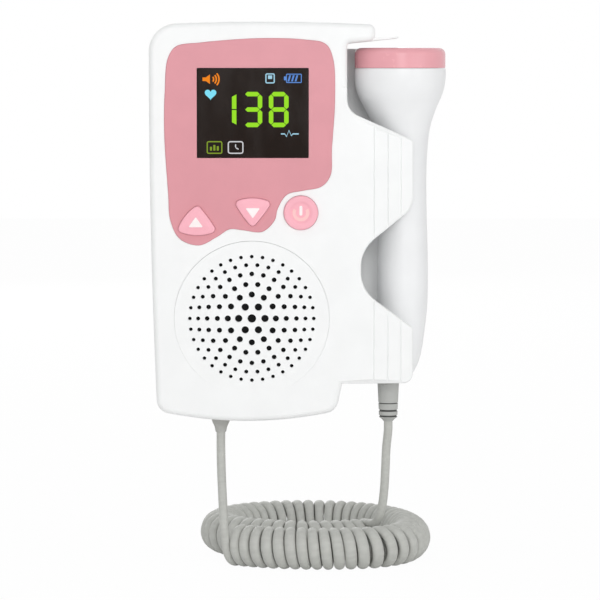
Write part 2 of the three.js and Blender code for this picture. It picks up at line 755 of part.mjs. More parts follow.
function batteryContact(z, halfWidth, y) {
  return box(-halfWidth, halfWidth, y - contactWide / 2, y + contactWide / 2, z, z + contactThick);
}

function caseScrew([x, z]) {
  return revolved([
    [0, -screwSunk - socketDeep], [socketRadius, -screwSunk - socketDeep], [socketRadius, -screwSunk],
    [screwHeadRadius - socketDeep / 2, -screwSunk], [screwHeadRadius, -screwSunk - socketDeep / 2],
    [screwHeadRadius, screwHeadBase], [screwShank, screwHeadBase],
    [screwShank, screwHeadBase - screwLength + screwShank], [0, screwHeadBase - screwLength],
  ], 'y', x, 0, z, 10);
}

// Face

function facePanel() {
  let panel = roundedPrism(panelLoop, frontY - panelProud, panelBack, panelProud, 1);
  panel = panel.subtract(prism(inset(windowLoop, -fit), frontY - overrun, 0));
  [upLoop, downLoop, powerLoop].forEach((loop) => {
    panel = panel.subtract(prism(inset(loop, -fit), frontY - overrun, 0));
  });
  return panel;
}

function displayWindow() {
  const front = panelBack - windowThick;
  return roundedPrism(windowLoop, front, panelBack, panelProud / 2, 1);
}

function displayModule() {
  return prism(windowBox(moduleMargin, 0), faceInnerY + fit, boardY - fit);
}

// A key with a domed cap, a lip behind the face and a stem that meets its switch
function key(loop, x, z) {
  const top = frontY - keyProud;
  let cap = roundedPrism(loop, top, faceInnerY + fit + overrun / 2, keyProud / 2, 3);
  cap = cap.add(prism(inset(loop, -keyFlange), faceInnerY + fit, faceInnerY + fit + keyFlange));
  return cap.add(rod(x, z, keyStemRadius, faceInnerY + fit, keyBack, 12));
}

function powerKey() {
  const top = frontY - keyProud;
  const lip = faceInnerY + fit;
  return revolved([
    [0, top + powerBevel / 2], [powerRadius * powerDishShare, top + powerBevel / 2],
    [powerRadius * powerRimShare, top], [powerRadius - powerBevel, top],
    [powerRadius, top + powerBevel], [powerRadius, lip], [powerRadius + keyFlange, lip],
    [powerRadius + keyFlange, lip + keyFlange], [keyStemRadius, lip + keyFlange],
    [keyStemRadius, keyBack], [0, keyBack],
  ], 'y', powerX, 0, powerZ, 22);
}

function keySwitch(x, z) {
  const half = switchSize / 2;
  const body = box(x - half, x + half, boardY - switchHeight, boardY - fit, z - half, z + half);
  return body.add(rod(x, z, plungerRadius, plungerTip, boardY - switchHeight / 2, 12));
}

function mainBoard() {
  let board = prism(rectangle(boardLeft, boardRight, boardBottom, boardTop), boardY, boardY + boardThick);
  screwPlaces.slice(0, 2).forEach(([x, z]) => {
    board = board.subtract(rod(x, z, boardNotch, boardY - overrun, boardY + boardThick + overrun, 20));
  });
  return board;
}

// Loudspeaker

// A disc with rings of round holes: one in the middle, then six more in each ring. Each ring
// starts on the level line through the middle
function speakerGrille() {
  const front = frontY + grilleSunk;
  const back = front + grilleThick;
  let disc = rod(speakerX, speakerZ, grilleRadius, front, back, 40);
  const centreHole = centreHoleShare * grilleRadius;
  const holes = [rod(speakerX, speakerZ, centreHole, front - overrun, back + overrun, 8)];
  ringShares.forEach((share, ring) => {
    const radius = share * grilleRadius;
    const hole = holeShares[ring] * grilleRadius;
    const count = 6 * (ring + 1);
    for (let i = 0; i < count; i += 1) {
      const angle = (i / count) * 2 * Math.PI;
      holes.push(rod(speakerX + radius * Math.cos(angle), speakerZ + radius * Math.sin(angle),
        hole, front - overrun, back + overrun, ring < 3 ? 6 : 5));
    }
  });
  holes.forEach((hole) => {
    disc = disc.subtract(hole);
  });
  return disc;
}

function speakerBasket() {
  const rim = faceInnerY + fit;
  const deep = rim + basketDeep;
  return revolved([
    [coneEdge + fit, rim], [basketRim, rim], [basketRim, rim + basketRimThick],
    [coneEdge + fit + basketSheet, rim + basketRimThick], [basketNeck + basketSheet, deep - basketSheet],
    [basketNeck, deep], [coneNeck + fit, deep], [coneNeck + fit, deep - basketSheet],
    [basketNeck, deep - basketSheet * 2], [coneEdge + fit, rim + basketRimThick], [coneEdge + fit, rim],
  ], 'y', speakerX, 0, speakerZ, 20);
}

function speakerCone() {
  const rim = faceInnerY + fit;
  return revolved([
    [0, rim + coneDeep / 2], [coneNeck * coneInnerShare, rim + coneDeep * coneInnerShare],
    [coneNeck, rim + coneDeep - coneSheet],
    [coneEdge - coneSheet, rim], [coneEdge, rim], [coneEdge, rim + coneSheet],
    [coneNeck + coneSheet, rim + coneDeep],
    [coneNeck * coneInnerShare, rim + coneDeep * coneInnerShare + coneSheet],
    [0, rim + coneDeep / 2 + coneSheet],
  ], 'y', speakerX, 0, speakerZ, 16);
}

function speakerMagnet() {
  const front = faceInnerY + fit + basketDeep + fit;
  return rod(speakerX, speakerZ, magnetRadius, front, bayFloorY - bayWall - magnetRoom, 16);
}

// Probe

// Radius and centre of the probe at a height, read between its hand-picked sections
function probeSectionAt(z) {
  const share = (probeTop - z) / probeLength;
  const after = Math.max(1, sectionShares.findIndex(([s]) => s >= share));
  const [a, b] = [sectionShares[after - 1], sectionShares[after]];
  const t = (share - a[0]) / (b[0] - a[0]);
  return {
    radius: headRadius * THREE.MathUtils.lerp(a[1], b[1], t),
    x: probeX - probeDrift * THREE.MathUtils.lerp(a[2], b[2], t),
  };
}

function probeRing(x, radius, z, steps = 24) {
  return circle(x, probeY, radius, steps).map((p) => new THREE.Vector3(p.x, p.y, z));
}

const bandFoot = probeTop - bandHeight;
const reliefTopZ = probeTop - probeLength - fit;
const reliefX = probeX - probeDrift;

function probeShell() {
  const places = sectionShares.map(([s, r, c]) => (
    [probeTop - s * probeLength, r * headRadius, c * probeDrift]));
  const outer = skin(places.map(([z, r, c]) => probeRing(probeX - c, r, z)));
  const spigot = skin([bandFoot - overrun, bandFoot + spigotHeight]
    .map((z) => probeRing(probeX, spigotRadius, z)));
  const hollow = places.slice(2, -4).map(([z, r, c]) => probeRing(probeX - c, r - probeWall, z, 14));
  const mouth = probeRing(probeX, spigotRadius - probeWall / 2, bandFoot + spigotHeight + overrun, 14);
  const well = skin([reliefTopZ - overrun, reliefTopZ + reliefInside + fit]
    .map((z) => probeRing(reliefX, reliefNeck + fit, z, 14)));
  return outer.add(spigot).subtract(skin([mouth, ...hollow])).subtract(well);
}

function probeBand() {
  const inner = spigotRadius + fit;
  const seat = bandFoot + spigotHeight + fit;
  const arc = arcPoints(4, 0, Math.PI / 2).map(([c, s]) => (
    [bandRadius - bandRound * (1 - c), probeTop - bandRound * (1 - s)]));
  return revolved([
    [inner, bandFoot + fit], [bandRadius, bandFoot + fit], ...arc,
    [lensRadius + fit, probeTop], [lensRadius + fit, seat], [inner, seat], [inner, bandFoot + fit],
  ], 'z', probeX, probeY, 0, 24);
}

function probeLens() {
  const back = probeTop - lensThick;
  return revolved([
    [0, back], [lensRadius, back], [lensRadius, probeTop - lensDome],
    [lensRadius * lensDomeShare, probeTop - lensDome / 2], [0, probeTop],
  ], 'z', probeX, probeY, 0, 24);
}

function transducerCrystal() {
  const top = probeTop - lensThick - fit;
  return revolved([
    [0, top - crystalThick], [crystalRadius, top - crystalThick], [crystalRadius, top], [0, top],
  ], 'z', probeX, probeY, 0, 16);
}

function transducerBacking() {
  const top = probeTop - lensThick - 2 * fit - crystalThick;
  const foot = top - backingThick;
  const radius = spigotRadius - probeWall / 2 - fit;
  return revolved([
    [0, foot], [radius * backingFootShare, foot], [radius, foot + backingThick / 3],
    [radius, top], [0, top],
  ], 'z', probeX, probeY, 0, 16);
}

function probeBoard() {
  const waist = probeSectionAt(probeTop - probeWaistShare * probeLength);
  const half = waist.radius - probeWall - fit - fit / 2;
  return box(waist.x - half, waist.x + half, probeY - probeBoardThick / 2, probeY + probeBoardThick / 2,
    probeBoardTop - probeBoardLength, probeBoardTop);
}

// A tapered sleeve with ring grooves and a collar at its foot
function strainRelief() {
  const profile = [
    [0, reliefTopZ + reliefInside], [reliefNeck, reliefTopZ + reliefInside],
    [reliefNeck, reliefTopZ], [reliefTopRadius, reliefTopZ],
  ];
  reliefGrooveShares.forEach((share) => {
    const z = reliefTopZ - share * reliefLength;
    const radius = THREE.MathUtils.lerp(reliefTopRadius, reliefFootRadius, share);
    const half = reliefGrooveWide / 2;
    profile.push([radius, z + half], [radius - reliefGroove, z + half],
      [radius - reliefGroove, z - half], [radius, z - half]);
  });
  const foot = reliefTopZ - reliefLength;
  profile.push([reliefFootRadius, foot], [collarRadius, foot - collarLength / 2],
    [cordRadius, foot - collarLength], [0, foot - collarLength]);
  return revolved(profile, 'z', reliefX, probeY, 0, 12);
}

// The bell under the case that the fixed end of the cord comes out of
const bootTopZ = lowestAt(bootX) - fit;

function lowestAt(x) {
  const near = caseOutline.filter((p) => p.y < waistHeight)
    .sort((a, b) => Math.abs(a.x - x) - Math.abs(b.x - x)).slice(0, 2);
  return Math.min(near[0].y, near[1].y);
}

function cordBoot() {
  const inside = bootTopZ + fit + sideWall + bottomCrown / 2;
  const [shoulderShare, dropShare] = bootBellShares;
  return revolved([
    [0, inside + bootFlangeThick], [bootFlange, inside + bootFlangeThick], [bootFlange, inside],
    [bootNeck, inside], [bootNeck, bootTopZ], [bootRadius, bootTopZ],
    [bootRadius * shoulderShare, bootTopZ - bootLength * dropShare],
    [bootWaist, bootTopZ - bootLength * bootWaistShare],
    [bootWaist * bootFootShare, bootTopZ - bootLength], [0, bootTopZ - bootLength],
  ], 'z', bootX, -bootDepth, 0, 14);
}

// Curly cord

// The coil winds round a level route. Its turns are closer on the inside of a bend, so the
// pitch along the route grows with the bend, and the turns there keep their gap.
function coilWire() {
  const route = new THREE.CatmullRomCurve3(
    coilRoute.map(([x, y]) => new THREE.Vector3(x, y, floorZ + curlRadius + cordRadius)),
    false, 'centripetal');
  const fine = 600;
  const centres = route.getSpacedPoints(fine);
  const step = route.getLength() / fine;
  const headings = centres.map((p, i) => {
    const a = centres[Math.max(0, i - 1)];
    const b = centres[Math.min(fine, i + 1)];
    return Math.atan2(b.y - a.y, b.x - a.x);
  });
  const span = 24;
  const bendAt = (i) => {
    const [a, b] = [Math.max(1, i - span), Math.min(fine - 1, i + span)];
    const turned = Math.atan2(Math.sin(headings[b] - headings[a]), Math.cos(headings[b] - headings[a]));
    return Math.abs(turned) / ((b - a) * step);
  };
  const phases = [0];
  for (let i = 1; i <= fine; i += 1) {
    const pitch = innerPitch / (1 - bendAt(i) * curlRadius);
    phases.push(phases[i - 1] + step / pitch);
  }
  const turns = Math.floor(phases[fine]) - 0.25;
  const stretch = phases[fine] / turns;
  const pointAt = (phase) => {
    const wanted = phase * stretch;
    let i = phases.findIndex((q) => q >= wanted);
    if (i < 1) i = phase <= 0 ? 1 : fine;
    const t = (wanted - phases[i - 1]) / (phases[i] - phases[i - 1]);
    const centre = centres[i - 1].clone().lerp(centres[i], t);
    const heading = headings[i - 1];
    const angle = -2 * Math.PI * phase;
    const side = new THREE.Vector3(Math.sin(heading), -Math.cos(heading), 0);
    return centre.addScaledVector(side, curlRadius * Math.cos(angle))
      .add(new THREE.Vector3(0, 0, curlRadius * Math.sin(angle)));
  };
  return { turns, pointAt };
}

const coil = coilWire();
const stepsPerCurl = 8;
const coilPoints = Array.from({ length: Math.round(coil.turns * stepsPerCurl) + 1 },
  (_, i) => coil.pointAt(i / stepsPerCurl));
const headingOf = (from, to) => to.clone().sub(from).normalize();
const coilStartHeading = headingOf(coil.pointAt(0), coil.pointAt(0.02));
const coilEndHeading = headingOf(coil.pointAt(coil.turns - 0.02), coil.pointAt(coil.turns));
const cordDiameter = 2 * cordRadius;

// Sections square to the wire, five points round it, with a straight run at each end
function coilSolid() {
  const sides = 5;
  const first = coilPoints[0].clone().addScaledVector(coilStartHeading, -cordDiameter);
  const last = coilPoints[coilPoints.length - 1].clone().addScaledVector(coilEndHeading, cordDiameter);
  const line = [first, ...coilPoints, last];
  const rings = line.map((p, i) => {
    const heading = headingOf(line[Math.max(0, i - 1)], line[Math.min(line.length - 1, i + 1)]);
    const along = i < 2 ? coilStartHeading : i > line.length - 3 ? coilEndHeading : heading;
    const phase = THREE.MathUtils.clamp((i - 1) / stepsPerCurl, 0, coil.turns);
    const centre = coil.pointAt(phase);
    const inward = coil.pointAt(phase + 0.5).sub(centre);
    const across = inward.clone().addScaledVector(along, -inward.dot(along)).normalize();
    const other = new THREE.Vector3().crossVectors(along, across);
    return Array.from({ length: sides }, (_, k) => {
      const angle = (k / sides) * 2 * Math.PI;
      return p.clone().addScaledVector(across, cordRadius * Math.cos(angle))
        .addScaledVector(other, cordRadius * Math.sin(angle));
    });
  });
  return skin(rings);
}

// Least distance between turns that are not next to each other along the wire
function leastGap() {
  const fine = [];
  for (let i = 0; i <= coil.turns * 24; i += 1) fine.push(coil.pointAt(i / 24));
  let least = Infinity;
  fine.forEach((p, i) => {
    for (let j = i + 12; j < fine.length; j += 1) least = Math.min(least, p.distanceTo(fine[j]));
  });
  return least - cordDiameter;
}

let wireLength = 0;
coilPoints.forEach((p, i) => {
  if (i) wireLength += p.distanceTo(coilPoints[i - 1]);
});
console.log(`curls ${coil.turns}, wire ${wireLength.toFixed(0)} mm, least gap ${leastGap().toFixed(2)} mm`);

function leftLead() {
  const start = new THREE.Vector3(bootX, -bootDepth, bootTopZ - bootLength - fit);
  const end = coilPoints[0].clone().addScaledVector(coilStartHeading, -cordDiameter - fit);
  return tube([
    start, start.clone().add(new THREE.Vector3(0, 0, -cordDiameter)),
    ...leftRoute.map(([x, y, z]) => new THREE.Vector3(x, y, z)),
    end.clone().addScaledVector(coilStartHeading, -cordDiameter), end,
  ], cordRadius);
}

function rightLead() {
  const start = new THREE.Vector3(reliefX, probeY, reliefTopZ - reliefLength - collarLength - fit);
  const end = coilPoints[coilPoints.length - 1].clone()
    .addScaledVector(coilEndHeading, cordDiameter + fit);
  return tube([
    start, start.clone().add(new THREE.Vector3(0, 0, -cordDiameter)),
    ...rightRoute.map(([x, y, z]) => new THREE.Vector3(x, y, z)),
    end.clone().addScaledVector(coilEndHeading, cordDiameter), end,
  ], cordRadius);
}

// Assembly

const finishes = {
  white: { color: 0xf4f4f3, roughness: 0.4, metalness: 0 },
  pink: { color: 0xdc96a2, roughness: 0.35, metalness: 0 },
  key: { color: 0xf2abb8, roughness: 0.4, metalness: 0 },
  black: { color: 0x1a1716, roughness: 0.15, metalness: 0 },
  grey: { color: 0xa9a9a5, roughness: 0.6, metalness: 0 },
  cord: { color: 0xb8b9b3, roughness: 0.55, metalness: 0 },
  board: { color: 0x1f5a3a, roughness: 0.6, metalness: 0.1 },
  steel: { color: 0xb9bcc0, roughness: 0.3, metalness: 0.9 },
  paper: { color: 0x3a3a3c, roughness: 0.8, metalness: 0 },
  cell: { color: 0x4a6f8c, roughness: 0.35, metalness: 0.4 },
  lens: { color: 0xd9d6cf, roughness: 0.5, metalness: 0 },
};

const monitor = new THREE.Group();

function place(name, solid, finish) {
  const { vertProperties, triVerts, numProp } = solid.getMesh();
  const positions = new Float32Array((vertProperties.length / numProp) * 3);
  for (let i = 0; i < positions.length / 3; i += 1) {
    positions.set(vertProperties.subarray(i * numProp, i * numProp + 3), i * 3);
  }
  const geometry = new THREE.BufferGeometry();
  geometry.setAttribute('position', new THREE.BufferAttribute(positions, 3));
  geometry.setIndex(new THREE.BufferAttribute(triVerts, 1));
  geometry.computeVertexNormals();
  const mesh = new THREE.Mesh(geometry, new THREE.MeshStandardMaterial(finishes[finish]));
  mesh.name = name;
  monitor.add(mesh);
}

place('front_housing', frontHousing(), 'white');
place('rear_housing', rearHousing(), 'white');
place('face_panel', facePanel(), 'pink');
place('display_window', displayWindow(), 'black');
place('display_module', displayModule(), 'steel');
place('up_button', key(upLoop, upX, upZ), 'key');
place('down_button', key(downLoop, downX, downZ), 'key');
place('power_button', powerKey(), 'key');
place('up_switch', keySwitch(upX, upZ), 'black');
place('down_switch', keySwitch(downX, downZ), 'black');
place('power_switch', keySwitch(powerX, powerZ), 'black');
place('main_board', mainBoard(), 'board');
place('speaker_grille', speakerGrille(), 'white');
place('speaker_basket', speakerBasket(), 'steel');
place('speaker_cone', speakerCone(), 'paper');
place('speaker_magnet', speakerMagnet(), 'steel');
place('battery_cover', batteryCover(), 'white');
const cellX = cellRadius + cellRoom / 2;
[-cellX, cellX].forEach((x, i) => place(`battery_cell_${i + 1}`, batteryCell(x), 'cell'));
const contactY = -coverThick - fit - cellRadius - cellRoom;
place('battery_contact_top', batteryContact(
  bayCentre + bayHalfHeight - contactThick - fit / 2, bayHalfWidth - fit, contactY), 'steel');
place('battery_contact_bottom', batteryContact(
  bayCentre - bayHalfHeight + fit / 2, bayHalfWidth - fit, contactY), 'steel');
screwPlaces.forEach((spot, i) => place(`case_screw_${i + 1}`, caseScrew(spot), 'steel'));
place('cord_boot', cordBoot(), 'grey');
place('probe_shell', probeShell(), 'white');
place('probe_band', probeBand(), 'pink');
place('probe_lens', probeLens(), 'lens');
place('transducer_crystal', transducerCrystal(), 'steel');
place('transducer_backing', transducerBacking(), 'paper');
place('probe_board', probeBoard(), 'board');
place('probe_strain_relief', strainRelief(), 'grey');
place('cord_left_lead', leftLead(), 'cord');
place('cord_coil', coilSolid(), 'cord');
place('cord_right_lead', rightLead(), 'cord');

export default monitor;
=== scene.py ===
# A handheld fetal doppler monitor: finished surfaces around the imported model.
# Every size below is in millimetres; meshes are made in metres. The front faces -y, and z is up.
import bmesh
import bpy
import numpy as np
from mathutils.geometry import delaunay_2d_cdt
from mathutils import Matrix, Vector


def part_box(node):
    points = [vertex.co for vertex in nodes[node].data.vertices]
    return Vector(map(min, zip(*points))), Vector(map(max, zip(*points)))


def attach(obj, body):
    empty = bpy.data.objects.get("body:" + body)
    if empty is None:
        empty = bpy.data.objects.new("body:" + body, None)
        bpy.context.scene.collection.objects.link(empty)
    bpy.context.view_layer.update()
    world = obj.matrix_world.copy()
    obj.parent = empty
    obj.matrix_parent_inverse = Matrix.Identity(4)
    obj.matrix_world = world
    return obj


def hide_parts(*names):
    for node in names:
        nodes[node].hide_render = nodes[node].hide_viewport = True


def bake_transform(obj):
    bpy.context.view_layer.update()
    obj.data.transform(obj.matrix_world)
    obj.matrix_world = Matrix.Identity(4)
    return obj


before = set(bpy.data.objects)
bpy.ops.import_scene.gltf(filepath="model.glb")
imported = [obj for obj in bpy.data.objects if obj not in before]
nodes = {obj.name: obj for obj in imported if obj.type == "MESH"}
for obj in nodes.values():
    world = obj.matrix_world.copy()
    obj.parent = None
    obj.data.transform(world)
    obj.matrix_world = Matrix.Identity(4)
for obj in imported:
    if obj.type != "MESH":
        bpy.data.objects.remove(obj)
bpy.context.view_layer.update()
scene = bpy.context.scene
mm = 0.001
seam = 0.12                   # the fine gap between mouldings
lap = 0.3                     # how far joined solids run into each other, and the play of a seat
past = 1                      # how far a cutter runs past what it cuts


def boxOf(node):              # lowest and highest corner of a node, in millimetres
    low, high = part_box(node)
    return np.array(low) / mm, np.array(high) / mm


print("camera")
view = {"lens": 191.9, "sensor": 36, "reach": 20, "distance": 1078, "x": 16.9, "height": 55, "aim": -25.7}
eye = bpy.data.cameras.new("eye")
eye.lens = view["lens"]
eye.sensor_width = view["sensor"]
eye.clip_end = view["reach"]
camera = bpy.data.objects.new("camera", eye)
frontY = boxOf("front_housing")[0][1]
camera.location = np.array([view["x"], frontY - view["distance"], view["height"]]) * mm
camera.rotation_euler = (np.pi / 2 - np.arctan2(view["height"] - view["aim"], view["distance"]), 0, 0)
scene.collection.objects.link(camera)
scene.camera = camera


# Lines and loops

nearHalf = 0.49               # the most of an edge that one corner's round may take


def unit(v):                  # directions of length one
    return v / np.linalg.norm(v, axis=-1, keepdims=True)


def filled(rows, width):      # rows of one width, with zeros for what they leave out
    return np.array([list(row) + [0] * (width - len(row)) for row in rows], float)


# Centripetal Catmull-Rom: each span is a cubic whose end slopes follow the roots of the chords
def smoothLine(points, closed=False, samples=16):
    p = np.asarray(points, float)
    if closed:
        p0, p1, p2, p3 = np.roll(p, 1, 0), p, np.roll(p, -1, 0), np.roll(p, -2, 0)
    else:
        ends = np.vstack([2 * p[0] - p[1], p, 2 * p[-1] - p[-2]])
        p0, p1, p2, p3 = ends[:-3], ends[1:-2], ends[2:-1], ends[3:]
    chords = ((p0, p1), (p1, p2), (p2, p3))
    d0, d1, d2 = (np.sqrt(np.linalg.norm(b - a, axis=1))[:, None] for a, b in chords)
    m1 = ((p1 - p0) / d0 - (p2 - p0) / (d0 + d1) + (p2 - p1) / d1) * d1
    m2 = ((p2 - p1) / d1 - (p3 - p1) / (d1 + d2) + (p3 - p2) / d2) * d1
    t = np.linspace(0, 1, samples, endpoint=False)[None, :, None]
    p1, p2, m1, m2 = (a[:, None, :] for a in (p1, p2, m1, m2))
    line = ((2 * t**3 - 3 * t**2 + 1) * p1 + (t**3 - 2 * t**2 + t) * m1
            + (3 * t**2 - 2 * t**3) * p2 + (t**3 - t**2) * m2).reshape(-1, p.shape[1])
    return line if closed else np.vstack([line, p[-1]])


def lengthsAlong(line):
    return np.concatenate([[0], np.cumsum(np.linalg.norm(np.diff(line, axis=0), axis=1))])


def evenly(line, count):      # the same line with points at equal spacing
    along = lengthsAlong(line)
    at = np.linspace(0, along[-1], count)
    return np.stack([np.interp(at, along, line[:, k]) for k in range(line.shape[1])], 1)


# Corners are [x, z, round, crown]. An edge bulges by its crown as a parabola, and each corner
# becomes a cubic arc that touches both edges at its round over the tangent of the half angle
def cornerLoop(corners, arcSteps=12, crownSteps=28):
    rows = filled(corners, 4)
    p, rounds, crowns = rows[:, :2], rows[:, 2], rows[:, 3]
    edge = np.roll(p, -1, 0) - p
    length = np.linalg.norm(edge, axis=1)
    out = np.stack([edge[:, 1], -edge[:, 0]], 1) / length[:, None]

    def at(i, t):
        t = np.atleast_1d(t)[:, None]
        return p[i] + edge[i] * t + out[i] * 4 * crowns[i] * t * (1 - t)

    def slope(i, t):
        return unit(edge[i] + out[i] * 4 * crowns[i] * (1 - 2 * t))

    count = len(p)
    turn = np.array([np.arccos(np.clip(slope(i - 1, 1) @ slope(i, 0), -1, 1)) for i in range(count)])
    room = nearHalf * np.minimum(length, np.roll(length, 1))
    reach = np.minimum(rounds * np.tan(turn / 2), room)
    loop = []
    for i in range(count):
        if reach[i] > 0:
            tIn, tOut = 1 - reach[i] / length[i - 1], reach[i] / length[i]
            a, b = at(i - 1, tIn)[0], at(i, tOut)[0]
            handle = 4 / 3 * np.tan(turn[i] / 4) * reach[i] / np.tan(turn[i] / 2)
            c, d = a + slope(i - 1, tIn) * handle, b - slope(i, tOut) * handle
            t = np.linspace(0, 1, arcSteps + 1)[:, None]
            loop.append((1 - t)**3 * a + 3 * (1 - t)**2 * t * c + 3 * (1 - t) * t**2 * d + t**3 * b)
        else:
            loop.append(p[i:i + 1])
        if crowns[i]:
            last = 1 - reach[(i + 1) % count] / length[i]
            loop.append(at(i, np.linspace(reach[i] / length[i], last, crownSteps)[1:-1]))
    return np.vstack(loop)


# A loop moved inwards, or outwards by a negative distance, along the mean of its edges' normals
def inset(loop, distance):
    x, z = loop.T
    turn = np.sign(np.sum(x * np.roll(z, -1) - np.roll(x, -1) * z))
    ahead = unit(np.roll(loop, -1, 0) - loop)
    behind = np.roll(ahead, 1, 0)
    normal = unit(np.stack([-ahead[:, 1] - behind[:, 1], ahead[:, 0] + behind[:, 0]], 1)) * turn
    square = np.stack([-ahead[:, 1], ahead[:, 0]], 1) * turn
    cosHalf = np.maximum(np.sum(normal * square, axis=1), 0.5)
    return loop + normal * (distance / cosHalf)[:, None]


# Points at equal angles round a circle
def circleLoop(x, z, radius, steps=64):
    angle = np.arange(steps) / steps * 2 * np.pi
    return np.stack([x + radius * np.cos(angle), z + radius * np.sin(angle)], 1)


# A box with the same round at its four corners
def boxLoop(left, right, bottom, top, round=0):
    corners = ((left, bottom), (right, bottom), (right, top), (left, top))
    return cornerLoop([[x, z, round] for x, z in corners], 8)


def arc(x, z, radius, start, end, steps):   # points along part of a circle, by degrees
    angle = np.radians(np.linspace(start, end, steps))
    return np.stack([x + radius * np.cos(angle), z + radius * np.sin(angle)], 1)


def arcBand(x, z, outer, inner, start, end, steps):
    return np.vstack([arc(x, z, outer, start, end, steps), arc(x, z, inner, end, start, steps)])


# Meshes

def makePiece(name, points, faces):
    mesh = bpy.data.meshes.new(name)
    mesh.from_pydata((np.asarray(points) * mm).tolist(), [], [list(map(int, f)) for f in faces])
    mesh.validate()
    piece = bpy.data.objects.new(name, mesh)
    scene.collection.objects.link(piece)
    return piece


# Quads between neighbouring rings of equal count, closed round each ring
def ringFaces(ringCount, count):
    r, i = np.meshgrid(np.arange(ringCount - 1) * count, np.arange(count), indexing="ij")
    j = (i + 1) % count
    return np.stack([r + i, r + j, r + count + j, r + count + i], -1).reshape(-1, 4)


# A closed skin over rings, turned to face outwards; its ends are flat, or single points
def skin(name, rings):
    rings = np.asarray(rings, float)
    many, count = rings.shape[:2]
    points = rings.reshape(-1, 3)
    faces = [list(f) for f in ringFaces(many, count)]
    tips = [np.ptp(rings[k], axis=0).max() < 1e-6 for k in (0, -1)]
    first, last = np.arange(count), np.arange(count) + (many - 1) * count
    if not tips[0]:
        faces.append(first[::-1])
    if not tips[1]:
        faces.append(last)
    return turnedOut(makePiece(name, points, faces))


# Merges points that coincide, and turns every face of a closed piece outwards
def turnedOut(piece):
    work = bmesh.new()
    work.from_mesh(piece.data)
    bmesh.ops.remove_doubles(work, verts=work.verts, dist=1e-7)
    bmesh.ops.recalc_face_normals(work, faces=work.faces)
    work.to_mesh(piece.data)
    work.free()
    return piece


def level(loop, y):           # a loop of the face, set at a depth
    y = np.broadcast_to(np.asarray(y, float), len(loop))
    return np.stack([loop[:, 0], y, loop[:, 1]], 1)


# Rings of a slab: at either end the loop is drawn in by r(1 - sin a) and set back by r(1 - cos a)
def slabRings(loop, front, back, frontRound=0, backRound=0, steps=8, sweep=lambda x: 0 * x):
    away = np.sign(back - front)
    angles = np.linspace(0, np.pi / 2, steps + 1)
    rings = []
    for end, inwards, round, order in ((front, away, frontRound, angles),
                                       (back, -away, backRound, angles[::-1])):
        for a in (order if round else [np.pi / 2]):
            drawn = inset(loop, round * (1 - np.sin(a)))
            rings.append(level(drawn, end + inwards * round * (1 - np.cos(a)) + sweep(drawn[:, 0])))
    return rings


# A solid between two depths over a loop, with a quarter round at either rim
def slab(loop, front, back, frontRound=0, backRound=0, steps=8, name="slab"):
    return skin(name, slabRings(loop, front, back, frontRound, backRound, steps))


# A round bar along y
def rod(x, z, radius, yA, yB, steps=48):
    return slab(circleLoop(x, z, radius, steps), yA, yB)


# One closed prism for each loop between two depths, all in one mesh, each turned by its winding
def prisms(name, loops, front, back):
    points, faces, total = [], [], 0
    for loop in map(np.asarray, loops):
        x, z = loop.T
        count = len(loop)
        inwards = np.sum(x * np.roll(z, -1) - np.roll(x, -1) * z) > 0
        ends = [np.arange(count)[::-1], np.arange(count) + count]
        faces += [(np.roll(f[::-1], 1) if inwards else f) + total for f in [*ringFaces(2, count), *ends]]
        points += [level(loop, front), level(loop, back)]
        total += 2 * count
    return makePiece(name, np.vstack(points), faces)


def upright(name, outline, low, high):   # a prism along z, from an outline of [x, y]
    return skin(name, [np.column_stack([outline, np.full(len(outline), z)]) for z in (low, high)])


# A solid of revolution from rows of [radius, height], about an axis along z, or along y
def revolve(name, profile, x, y, z, axis="z", steps=96):
    radius, height = np.array(profile, float).T
    angle = np.arange(steps) / steps * 2 * np.pi
    u, v = radius[:, None] * np.cos(angle), radius[:, None] * np.sin(angle)
    h = np.broadcast_to(height[:, None], u.shape)
    rings = np.stack([x + u, y + v, z + h] if axis == "z" else [x + u, y + h, z + v], -1)
    return skin(name, rings)


def post(name, x, y, radius, low, high, steps=48):   # a plain round post along z
    return revolve(name, [[0, low], [radius, low], [radius, high], [0, high]], x, y, 0, steps=steps)


# A profile with each inner corner rounded: [radius, height, round]
def roundedProfile(corners, steps=5):
    c = filled(corners, 3)
    line = [c[:1, :2]]
    for before, here, after in zip(c[:-2], c[1:-1], c[2:]):
        a, b = before[:2] - here[:2], after[:2] - here[:2]
        la, lb = np.linalg.norm(a), np.linalg.norm(b)
        reach = min(here[2], nearHalf * la, nearHalf * lb)
        if reach <= 0:
            line.append(here[None, :2])
            continue
        start, end = here[:2] + a / la * reach, here[:2] + b / lb * reach
        t = np.linspace(0, 1, steps + 1)[:, None]
        line.append((1 - t)**2 * start + 2 * t * (1 - t) * here[:2] + t**2 * end)
    line.append(c[-1:, :2])
    return np.vstack(line)


def settle(piece):            # what the modifiers give becomes the mesh
    shape = piece.evaluated_get(bpy.context.evaluated_depsgraph_get())
    mesh = bpy.data.meshes.new_from_object(shape)
    piece.modifiers.clear()
    piece.data = mesh
    mesh.name = piece.name
    return piece


def combine(piece, operation, *tools):
    for tool in tools:
        step = piece.modifiers.new("combine", "BOOLEAN")
        step.solver = "MANIFOLD"
        step.operation = operation
        step.object = tool
        settle(piece)
        bpy.data.objects.remove(tool)
    return piece


def cut(piece, *tools):
    return combine(piece, "DIFFERENCE", *tools)


def join(piece, *tools):
    return combine(piece, "UNION", *tools)


# Small round on every edge sharper than an angle
def soften(piece, width, angle=50, segments=2):
    step = piece.modifiers.new("edges", "BEVEL")
    step.width = width * mm
    step.segments = segments
    step.limit_method = "ANGLE"
    step.angle_limit = np.radians(angle)
    step.use_clamp_overlap = True
    return settle(piece)


